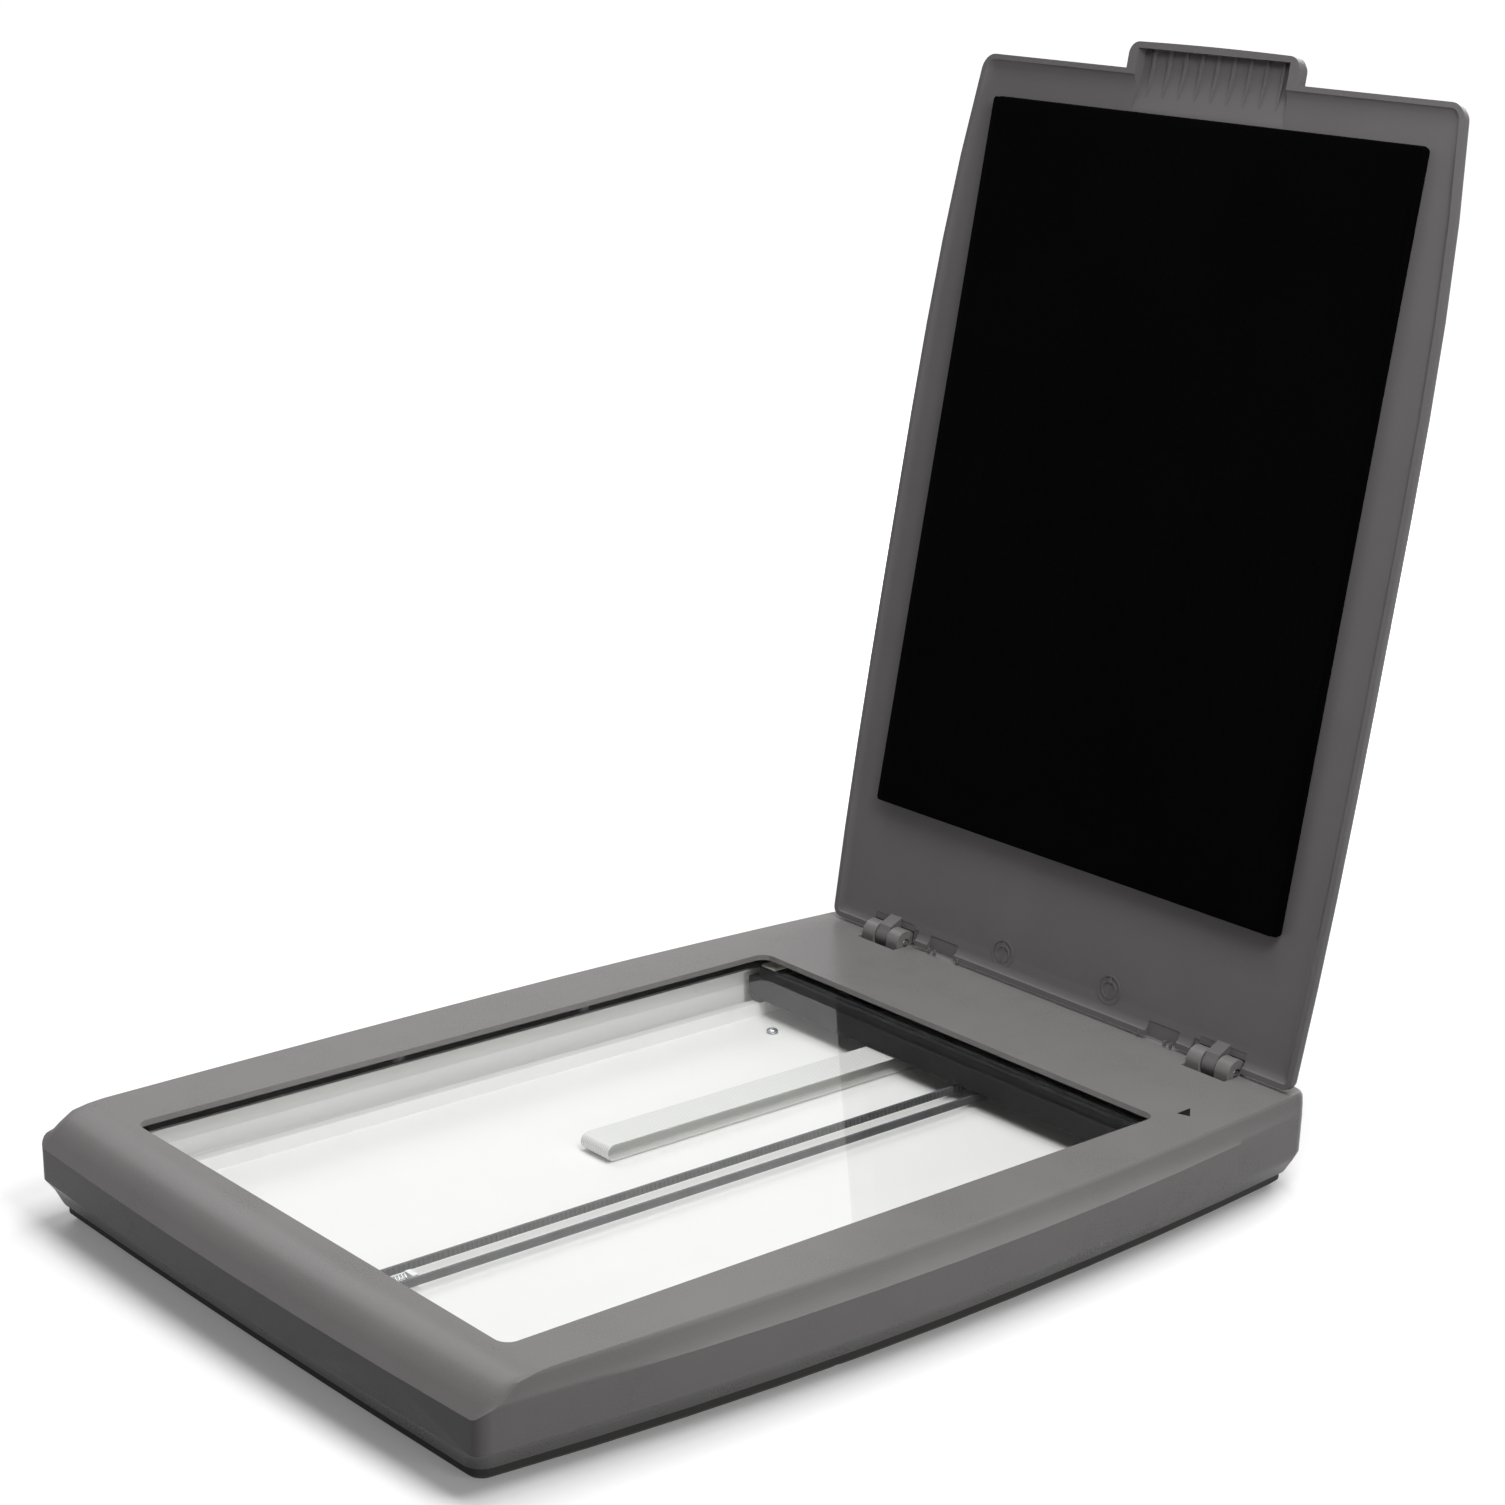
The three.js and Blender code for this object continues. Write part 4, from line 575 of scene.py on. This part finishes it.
# Rubbers: name, colour and grain in millimetres
rubbers = {
    "rubber": ("foot_rubber", tone(34, 34, 34), 0.5),
    "belt": ("belt_rubber", tone(72, 72, 74), 0.35),
}
looks = {
    **{look: moulded_plastic(*recipe) for look, recipe in plastics.items()},
    **{look: drawn_metal(*recipe) for look, recipe in metals.items()},
    **{look: soft_rubber(*recipe) for look, recipe in rubbers.items()},
    "screw": threaded_zinc(),
    "board": circuit_board(),
    "ribbon": striped_ribbon(),
    "glass": clear_glass(),
    "mat_face": mat_face(),
    "mat_core": mat_core(),
}
node_looks = {
    "casing": ["top_cover", "hinge_post_left", "hinge_post_right"],
    "lid": ["lid_shell"],
    "underside": ["bottom_pan"],
    "pale": ["chassis_tray"],
    "white": ["calibration_strip", "light_guide"],
    "black": ["carriage_frame", "sensor_housing", "lens_bar", "belt_clamp"],
    "nylon": ["drive_gear", "idler_pulley", "glass_slider_left", "glass_slider_right"],
    "steel": [
        "guide_rod", "gear_axle", "tension_spring", "pressure_spring_left", "pressure_spring_right",
        "hinge_pin_left", "hinge_pin_right",
    ],
    "zinc": ["data_socket", "stepper_motor", "idler_bracket"],
    "screw": [name for name in nodes if "_screw_" in name],
    "brass": ["motor_pinion"],
    "rubber": ["foot_front_left", "foot_front_right", "foot_rear_left", "foot_rear_right"],
    "belt": ["drive_belt"],
    "board": ["main_board"],
    "ribbon": ["ribbon_cable"],
    "glass": ["scan_glass", "sensor_glass"],
    "mat_face": ["mat_sheet"],
    "mat_core": ["mat_foam"],
}
look_of = {name: look for look, names in node_looks.items() for name in names}
made_anew = ["mat_foam", "mat_sheet", "tension_spring"] + node_looks["screw"]


def circle(radius, steps):
    """Points of a circle round the origin."""
    turns = [2 * math.pi * i / steps for i in range(steps)]
    return [(radius * math.cos(turn), radius * math.sin(turn)) for turn in turns]


class Shape:
    """Collects solids in millimetres of one frame, and turns them into a mesh."""

    def __init__(self, space=case_frame):
        self.space = space
        self.work = bmesh.new()

    def ring(self, points):
        return [self.work.verts.new(point) for point in points]

    def wall(self, first, second):
        """Faces between two rings of as many corners."""
        for i in range(len(first)):
            j = (i + 1) % len(first)
            self.work.faces.new((first[i], second[i], second[j], first[j]))

    def cap(self, ring):
        return self.work.faces.new(ring)

    def block(self, centre, size, edge=0.0):
        corners = bmesh.ops.create_cube(self.work, size=1)["verts"]
        bmesh.ops.scale(self.work, vec=size, verts=corners)
        bmesh.ops.translate(self.work, vec=centre, verts=corners)
        if edge:
            edges = list({e for v in corners for e in v.link_edges})
            bmesh.ops.bevel(
                self.work, geom=edges, offset=edge, segments=edge_steps, profile=0.5, affect="EDGES"
            )
        return self

    def lathe(self, profile, centre, steps):
        """Turns [radius, height] points round the axis through centre. The first and last lie on it."""
        rings = [
            self.ring((x, y, height) for x, y in circle(radius, steps))
            for radius, height in profile[1:-1]
        ]
        low, high = self.ring((0, 0, height) for height in (profile[0][1], profile[-1][1]))
        for i in range(steps):
            j = (i + 1) % steps
            self.work.faces.new((low, rings[0][j], rings[0][i]))
            self.work.faces.new((high, rings[-1][i], rings[-1][j]))
        for under, over in zip(rings, rings[1:]):
            self.wall(over, under)
        corners = [low, high] + [v for ring in rings for v in ring]
        bmesh.ops.translate(self.work, vec=centre, verts=corners)
        return self

    def prism(self, outline, low, high):
        """An outline of x and y points, raised from low to high."""
        under, over = (self.ring((x, y, level) for x, y in outline) for level in (low, high))
        self.cap(list(reversed(under)))
        self.cap(over)
        self.wall(over, under)
        return self

    def washer(self, centre, inner, outer, low, high, steps):
        """A flat ring raised from low to high."""
        x, y = centre
        rings = [
            self.ring((x + across, y + along, level) for across, along in circle(radius, steps))
            for radius, level in ((outer, low), (outer, high), (inner, high), (inner, low))
        ]
        for first, second in zip(rings, rings[1:] + rings[:1]):
            self.wall(second, first)
        return self

    def mesh(self, name):
        bmesh.ops.recalc_face_normals(self.work, faces=self.work.faces)
        self.work.transform(self.space)
        return shaded_mesh(self.work, name)


def shaded_mesh(work, name):
    """Ends a mesh: smooth where its faces meet gently, sharp along real edges."""
    limit = math.radians(smooth_angle)
    for face in work.faces:
        face.smooth = True
    for edge in work.edges:
        edge.smooth = len(edge.link_faces) == 2 and edge.calc_face_angle(math.pi) < limit
    mesh = bpy.data.meshes.new(name)
    work.to_mesh(mesh)
    work.free()
    return mesh


def put(name, data):
    """Adds an object to the scene."""
    obj = bpy.data.objects.new(name, data)
    bpy.context.scene.collection.objects.link(obj)
    return obj


def show(name, mesh, look, body, replaced=()):
    """Puts a finished mesh in the scene as a piece that rides on a body."""
    mesh.materials.clear()
    mesh.materials.append(looks[look])
    obj = put(name, mesh)
    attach(obj, body)
    if replaced:
        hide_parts(*replaced)
    return obj


def show_node(name, mesh):
    """Puts the finished form of a CAD node in the node's place."""
    return show(name + "_finished", mesh, look_of[name], body_of[name], [name])


def dress_nodes():
    for name, look in look_of.items():
        mesh = nodes[name].data
        mesh.materials.clear()
        mesh.materials.append(looks[look])


def refine(name):
    """A copy of a CAD node with merged corners, soft edges and smooth shading."""
    work = bmesh.new()
    work.from_mesh(nodes[name].data)
    bmesh.ops.remove_doubles(work, verts=work.verts, dist=weld)
    bmesh.ops.dissolve_limit(
        work, angle_limit=math.radians(flat_angle), verts=work.verts, edges=work.edges
    )
    obj = show_node(name, shaded_mesh(work, name + "_finished"))
    soften = obj.modifiers.new("edges", "BEVEL")
    soften.width = edge_widths.get(name, small_edge) * mm
    soften.segments = edge_steps
    soften.limit_method = "ANGLE"
    soften.angle_limit = math.radians(rounded_angle)
    soften.harden_normals = True
    weigh = obj.modifiers.new("normals", "WEIGHTED_NORMAL")
    weigh.keep_sharp = True


def refine_nodes():
    for name in nodes:
        if name not in made_anew:
            refine(name)


def rounded_outline(half_x, low, high, corner, steps):
    """A rectangle with round corners. Each corner starts at a share of half a turn."""
    right = half_x - corner
    corners = [
        (right, low + corner, -0.5), (right, high - corner, 0),
        (-right, high - corner, 0.5), (-right, low + corner, 1),
    ]
    points = []
    for x, y, start in corners:
        for i in range(steps + 1):
            angle = math.pi * (start + 0.5 * i / steps)
            points.append((x + corner * math.cos(angle), y + corner * math.sin(angle)))
    return points


def mat_profile(low, high, squeeze):
    """Inset and level of each outline of a mat layer, from its top face down to its bottom face."""
    edge = min(mat["edge_round"], (high - low) / mat["thickness_parts"])
    steps = mat["edge_steps"]
    turns = [math.pi / 2 * i / steps for i in range(steps + 1)]
    upper = [(edge * (1 - math.sin(turn)), high - edge * (1 - math.cos(turn))) for turn in turns]
    lower = [(edge * (1 - math.cos(turn)), low + edge * (1 - math.sin(turn))) for turn in turns]
    return upper + [(-squeeze, (low + high) / 2)] + lower


def cut_to_cells(work, flat_faces, half, front, rear):
    """Cuts the two flat faces of a mat layer into cells, so that they can be a little uneven."""
    columns, rows = mat["cells"]
    for axis, count, start, end in ((0, columns, -half, half), (1, rows, front, rear)):
        across = Vector((0, 0, 0))
        across[axis] = 1
        for i in range(1, count):
            lying = [f for f in work.faces if abs(f.normal.z) > mat["flat_normal"] or f in flat_faces]
            edges = {e for f in lying for e in f.edges}
            corners = {v for e in edges for v in e.verts}
            place = across * (start + (end - start) * i / count)
            bmesh.ops.bisect_plane(
                work, geom=[*corners, *edges, *lying], dist=weld, plane_co=place, plane_no=across
            )


def mat_layer(name, node, look, levels, squeeze):
    """One layer of the mat: rounded edges, sides that bulge, and faces that aren't quite flat."""
    low, high = levels
    half = mat["width"] / 2
    front = hinge_y - mat["length"] / 2
    rear = hinge_y + mat["length"] / 2
    corner = mat["corner"]
    shape = Shape(lid_frame)
    rings = []
    for inset, level in mat_profile(low, high, squeeze):
        outline = rounded_outline(
            half - inset, front + inset, rear - inset, corner - inset / 2, mat["corner_steps"]
        )
        rings.append(shape.ring((x, y, level) for x, y in outline))
    for first, second in zip(rings, rings[1:]):
        shape.wall(first, second)
    flat_faces = (shape.cap(rings[0]), shape.cap(list(reversed(rings[-1]))))
    cut_to_cells(shape.work, flat_faces, half, front, rear)
    for vert in shape.work.verts:
        inside = min(half - abs(vert.co.x), vert.co.y - front, rear - vert.co.y)
        calm = min(1, max(0, inside / mat["calm_border"]))
        spot = Vector((vert.co.x, vert.co.y, 0)) / mat["wave_period"]
        vert.co.z += noise.noise(spot) * mat["wave"] * calm
    obj = show(name, shape.mesh(name), look, body_of[node], [node])


def add_mat():
    core_levels = (mat["core_low"], mat["sheet_low"] - mat["glue"])
    sheet_levels = (mat["sheet_low"], mat["top"])
    mat_layer("mat_core_layer", "mat_foam", "mat_core", core_levels, mat["squeeze"])
    mat_layer("mat_face_layer", "mat_sheet", "mat_face", sheet_levels, 0)


def cut_away(mesh, cutter):
    """The mesh less the cutter, as a new mesh."""
    body = put("cut_body", mesh)
    tool = put("cut_tool", cutter)
    step = body.modifiers.new("cut", "BOOLEAN")
    step.operation = "DIFFERENCE"
    step.solver = "EXACT"
    step.object = tool
    bpy.context.view_layer.update()
    graph = bpy.context.evaluated_depsgraph_get()
    made = bpy.data.meshes.new_from_object(body.evaluated_get(graph))
    for obj in (body, tool):
        bpy.data.objects.remove(obj)
    return made


def screw_mesh(kind):
    """Pan-head screw with a cross recess, head upwards, seat at the origin, in millimetres."""
    head, height, shank, length = (kind[key] for key in ("head", "height", "shank", "length"))
    shaft = [(0, -length), (shank * tip_share, -length), (shank, shank - length), (shank, 0)]
    side = [(head, 0), (head, height * head_side)]
    crown = [
        (head * math.cos(angle), height * (crown_foot + (1 - crown_foot) * math.sin(angle)))
        for angle in crown_angles
    ]
    profile = shaft + side + crown + [(0, height)]
    mesh = Shape(own_frame).lathe(profile, (0, 0, 0), screw_sides).mesh("screw_blank")
    long = 2 * kind["cross"]
    for width, depth in ((long, cross_width), (cross_width, long)):
        slot = Shape(own_frame).block((0, 0, height), (width, depth, 2 * cross_depth))
        mesh = cut_away(mesh, slot.mesh("cross_slot"))
    return mesh


def add_screws():
    """Screws on the places of the CAD screws, each stopped at its own angle."""
    per_x, per_y = screw_turns
    for kind_name, kind in screw_kinds.items():
        blank = screw_mesh(kind)
        for name in node_looks["screw"]:
            if not name.startswith(kind_name):
                continue
            low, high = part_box(name)
            middle = (low + high) / 2
            if kind["points_up"]:
                seat = low.z + kind["height"] * mm
                flip = Matrix.Rotation(math.pi, 4, "X")
            else:
                seat = high.z - kind["height"] * mm
                flip = own_frame
            turn = Matrix.Rotation(middle.x * per_x + middle.y * per_y, 4, "Z")
            work = bmesh.new()
            work.from_mesh(blank)
            work.transform(
                Matrix.Translation((middle.x, middle.y, seat)) @ flip @ turn @ Matrix.Scale(mm, 4)
            )
            show_node(name, shaded_mesh(work, name + "_finished"))


def add_spring():
    """The spring that keeps the belt tight, wound as a round wire along Y."""
    node = "tension_spring"
    low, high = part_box(node)
    centre = case_frame.inverted() @ ((low + high) / 2)
    wire = spring["wire"]
    coil = (high.x - low.x) / mm / 2 - wire
    run = (high.y - low.y) / mm - 2 * wire
    total = spring["turns"] * spring["rings"]
    forward = Vector((0, 1, 0))
    section = circle(1, spring["sides"])
    shape = Shape()
    rings = []
    for i in range(total + 1):
        angle = 2 * math.pi * i / spring["rings"]
        outward = Vector((math.cos(angle), 0, math.sin(angle)))
        middle = centre + outward * coil + forward * (run * (i / total - 0.5))
        rings.append(shape.ring(middle + (outward * x + forward * y) * wire for x, y in section))
    shape.cap(rings[0])
    shape.cap(list(reversed(rings[-1])))
    for first, second in zip(rings, rings[1:]):
        shape.wall(first, second)
    show_node(node, shape.mesh(node + "_finished"))


def add_arrow():
    shape = Shape().prism(arrow_mark, 0, arrow_rise)
    show("arrow_mark", shape.mesh("arrow_mark"), "mark", "base")


def add_stamps():
    """Raised dials that the mould leaves on the lid: two rings and an arrow, without figures."""
    line = stamps["line"]
    low = lid_floor - line
    high = lid_floor + stamps["rise"]
    reach = stamps["rings"][0] - line
    tip = stamps["arrow"]
    for i, (x, y) in enumerate(stamps["places"]):
        shape = Shape(lid_frame)
        for radius in stamps["rings"]:
            shape.washer((x, y), radius - line, radius + line, low, high, stamps["steps"])
        shape.block((x, y, (low + high) / 2), (2 * line, 2 * reach, high - low))
        foot = y + reach - 2 * tip
        arrow = [(x - tip, foot), (x + tip, foot), (x, y + reach)]
        shape.prism(arrow, low, high + line / stamps["line_parts"])
        name = f"mould_dial_{i + 1}"
        show(name, shape.mesh(name), "lid", "lid")


def add_hinge_nubs():
    """Small spacer ribs on the lid's hinge edge."""
    shape = Shape(lid_frame)
    half, reach, along = (hinge_nubs[key] for key in ("half", "reach", "along"))
    edge = half / hinge_nubs["half_parts"]
    for x in hinge_nubs["places"]:
        shape.block((x, along, lid_rim), (2 * half, 2 * reach, 2 * half), edge)
    show("lid_edge_nubs", shape.mesh("lid_edge_nubs"), "lid", "lid")


def add_socket_contacts():
    """Two contacts on each side of the tongue in the data socket."""
    shape = Shape()
    rise = contact["rise"]
    size = (contact["width"], contact["length"], 2 * rise)
    y = data_socket["face"] - data_socket["tongue_front"] - contact["length"] / 2
    for side in (-1, 1):
        z = data_socket["centre"] + side * data_socket["tongue_half"]
        for offset in contact["offsets"]:
            shape.block((data_socket["x"] + offset, y, z), size, rise / contact["rise_parts"])
    show("socket_contacts", shape.mesh("socket_contacts"), "gold", "base")


def add_chip_pins(pins, x, y, width, depth):
    """A row of pins along the front and the rear of a chip."""
    pitch = chip_pins["pitch"]
    size = (chip_pins["width"], chip_pins["reach"], chip_pins["height"])
    edge = chip_pins["width"] / chip_pins["width_parts"]
    z = board_top + chip_pins["height"] / 2
    count = int((width - chip_pins["end_room"]) / pitch)
    for i in range(count):
        pin_x = x + (i - (count - 1) / 2) * pitch
        for side in (-1, 1):
            pin_y = y + side * (depth / 2 + chip_pins["reach"] / 2)
            pins.block((pin_x, pin_y, z), size, edge)


def add_board_blocks(shapes, pins):
    """Chips, plugs and the crystal: plain blocks with softened edges."""
    for (x, y), (width, depth, height), look in board_blocks:
        edge = min(width, height) / block_parts
        shapes[look].block((x, y, board_top + height / 2), (width, depth, height), edge)
        if look == "chip":
            add_chip_pins(pins, x, y, width, depth)


def add_board_chips(shape):
    """Tiny parts in two rows, with the places of one row between those of the other."""
    start_x, start_y = board_chips["start"]
    step_x, step_y = board_chips["pitch"]
    height = board_chips["size"][2]
    edge = height / board_chips["height_parts"]
    for row in range(board_chips["rows"]):
        for i in range(row, board_chips["count"], 2):
            centre = (start_x + i * step_x, start_y + row * step_y, board_top + height / 2)
            shape.block(centre, board_chips["size"], edge)


def add_board_cans(shape):
    """Capacitors in round cans."""
    radius, height = board_cans["radius"], board_cans["height"]
    foot = radius * board_cans["foot_share"]
    crown = radius * board_cans["crown_share"]
    profile = [
        (0, 0), (foot, 0), (radius, board_cans["foot_height"]),
        (radius, height - board_cans["crown_height"]), (crown, height), (0, height),
    ]
    for x, y in board_cans["places"]:
        shape.lathe(profile, (x, y, board_top), board_cans["steps"])


def add_board_parts():
    shapes = {look: Shape() for look in ("chip", "connector", "can")}
    pins = Shape()
    add_board_blocks(shapes, pins)
    add_board_chips(shapes["connector"])
    add_board_cans(shapes["can"])
    for look, shape in shapes.items():
        name = "board_" + look + "_parts"
        show(name, shape.mesh(name), look, "base")
    show("board_chip_pins", pins.mesh("board_chip_pins"), "can", "base")


def tooth_tree():
    """Geometry nodes: a block at each point of a row, and the names of the tree's inputs in a modifier."""
    tree = bpy.data.node_groups.new("tooth_row", "GeometryNodeTree")
    face = tree.interface
    face.new_socket("Geometry", in_out="OUTPUT", socket_type="NodeSocketGeometry")
    kinds = {"Start": "Vector", "End": "Vector", "Count": "Int", "Size": "Vector"}
    keys = {
        name: face.new_socket(name, in_out="INPUT", socket_type="NodeSocket" + kind).identifier
        for name, kind in kinds.items()
    }
    entry = tree.nodes.new("NodeGroupInput")
    end = tree.nodes.new("NodeGroupOutput")
    row = tree.nodes.new("GeometryNodeMeshLine")
    row.mode = "END_POINTS"
    cube = tree.nodes.new("GeometryNodeMeshCube")
    spread = tree.nodes.new("GeometryNodeInstanceOnPoints")
    real = tree.nodes.new("GeometryNodeRealizeInstances")
    paint = tree.nodes.new("GeometryNodeSetMaterial")
    paint.inputs["Material"].default_value = looks["belt"]
    link = tree.links.new
    link(entry.outputs["Start"], row.inputs["Start Location"])
    link(entry.outputs["End"], row.inputs["Offset"])
    link(entry.outputs["Count"], row.inputs["Count"])
    link(entry.outputs["Size"], cube.inputs["Size"])
    link(row.outputs["Mesh"], spread.inputs["Points"])
    link(cube.outputs["Mesh"], spread.inputs["Instance"])
    link(spread.outputs["Instances"], real.inputs["Geometry"])
    link(real.outputs["Geometry"], paint.inputs["Geometry"])
    link(paint.outputs["Geometry"], end.inputs["Geometry"])
    return tree, keys


def add_belt_teeth():
    """Moulded teeth on the inner side of both straight strands of the belt."""
    tree, keys = tooth_tree()
    front = belt["front"] + belt["end_room"]
    rear = belt["rear"] - belt["end_room"]
    count = int((rear - front) / belt["pitch"]) + 1
    out = belt["inner"] - belt["tooth"][0] / belt["sunk_parts"]
    for side, name in ((-1, "belt_teeth_left"), (1, "belt_teeth_right")):
        x = belt["x"] + side * out
        values = {
            "Start": case_frame @ Vector((x, front, belt["level"])),
            "End": case_frame @ Vector((x, rear, belt["level"])),
            "Count": count,
            "Size": Vector(belt["tooth"]) * mm,
        }
        host = put("tooth_host", bpy.data.meshes.new("tooth_host"))
        grow = host.modifiers.new("teeth", "NODES")
        grow.node_group = tree
        for value_name, value in values.items():
            grow[keys[value_name]] = value
        bpy.context.view_layer.update()
        graph = bpy.context.evaluated_depsgraph_get()
        mesh = bpy.data.meshes.new_from_object(host.evaluated_get(graph))
        bpy.data.objects.remove(host)
        mesh.name = name
        show(name, mesh, "belt", "base")


def add_camera():
    data = bpy.data.cameras.new("camera")
    data.sensor_width = film_width
    data.lens = focal_pixels * film_width / image_side
    half = image_side / 2
    data.shift_x = (half - centre_column) / image_side
    data.shift_y = (centre_row - half) / image_side
    data.clip_start = nearest_seen
    data.clip_end = farthest_seen
    camera = put("camera", data)
    back = camera_back.normalized()
    right = (camera_right - back * camera_right.dot(back)).normalized()
    up = back.cross(right)
    turn = Matrix((right, up, back)).transposed().to_4x4()
    camera.matrix_world = Matrix.Translation(case_frame @ Vector(camera_place)) @ turn
    bpy.context.scene.camera = camera


def seen_directly(bench):
    """1 where the camera sees a surface, straight or through glass and gloss, 0 for other light."""
    straight = bench.node("ShaderNodeLightPath", output="Is Camera Ray")
    gloss = bench.node("ShaderNodeLightPath", output="Is Glossy Ray")
    through = bench.node("ShaderNodeLightPath", output="Is Transmission Ray")
    return (straight + gloss + through).clipped()


def white_table():
    """Paper white where it is seen, with a soft shadow near the scanner, and darker for other light."""
    bench = Bench("white_table")
    away = bench.node("ShaderNodeVectorMath", {"operation": "LENGTH"}, {0: bench.place()}, "Value")
    near, far = shadow_reach
    rest = ((away - near) / (far - near)).clipped()
    seen = seen_directly(bench)
    grain = bench.noise(table_grain, detail=2)
    paper = bench.ramp(grain, [(0.3, tone(247, 247, 247)), (0.7, tone(250, 250, 250))])
    tint = bench.node("ShaderNodeMix", {"data_type": "RGBA"}, {0: seen, 6: table_bounce, 7: paper}, 2)
    return bench.surface(
        {
            "Base Color": tint,
            "Roughness": table_roughness,
            "Specular IOR Level": 0,
            "Emission Color": seen * (table_glow + rest * (1 - table_glow)),
            "Emission Strength": 1,
        }
    )


def add_table():
    half = table_size / 2
    corners = [(-half, -half, 0), (half, -half, 0), (half, half, 0), (-half, half, 0)]
    mesh = bpy.data.meshes.new("table_top")
    mesh.from_pydata(corners, [], [(0, 1, 2, 3)])
    mesh.materials.append(white_table())
    put("table_top", mesh)


def add_room():
    """A dim even room, plain white where the camera sees it straight or in gloss and glass."""
    bench = Bench("room", "worlds")
    dim = bench.node("ShaderNodeBackground", {}, {"Color": white, "Strength": room_light})
    bright = bench.node("ShaderNodeBackground", {}, {"Color": white, "Strength": 1})
    mix = bench.node("ShaderNodeMixShader", {}, {"Fac": seen_directly(bench), 1: dim, 2: bright})
    bpy.context.scene.world = bench.finish(mix, "ShaderNodeOutputWorld")


def add_lamps():
    """Square lamps, each with its -Z axis turned to its target."""
    for name, (place, target, side, power) in lamps.items():
        data = bpy.data.lights.new(name, "AREA")
        data.shape = "SQUARE"
        data.size = side
        data.energy = power
        back = (Vector(place) - Vector(target)).normalized()
        turn = back.to_track_quat("Z", "Y").to_matrix().to_4x4()
        put(name, data).matrix_world = Matrix.Translation(place) @ turn


add_camera()
dress_nodes()
refine_nodes()
add_mat()
add_screws()
add_spring()
add_arrow()
add_stamps()
add_hinge_nubs()
add_socket_contacts()
add_board_parts()
add_belt_teeth()
add_table()
add_room()
add_lamps()
bpy.context.scene.view_settings.view_transform = "Standard"
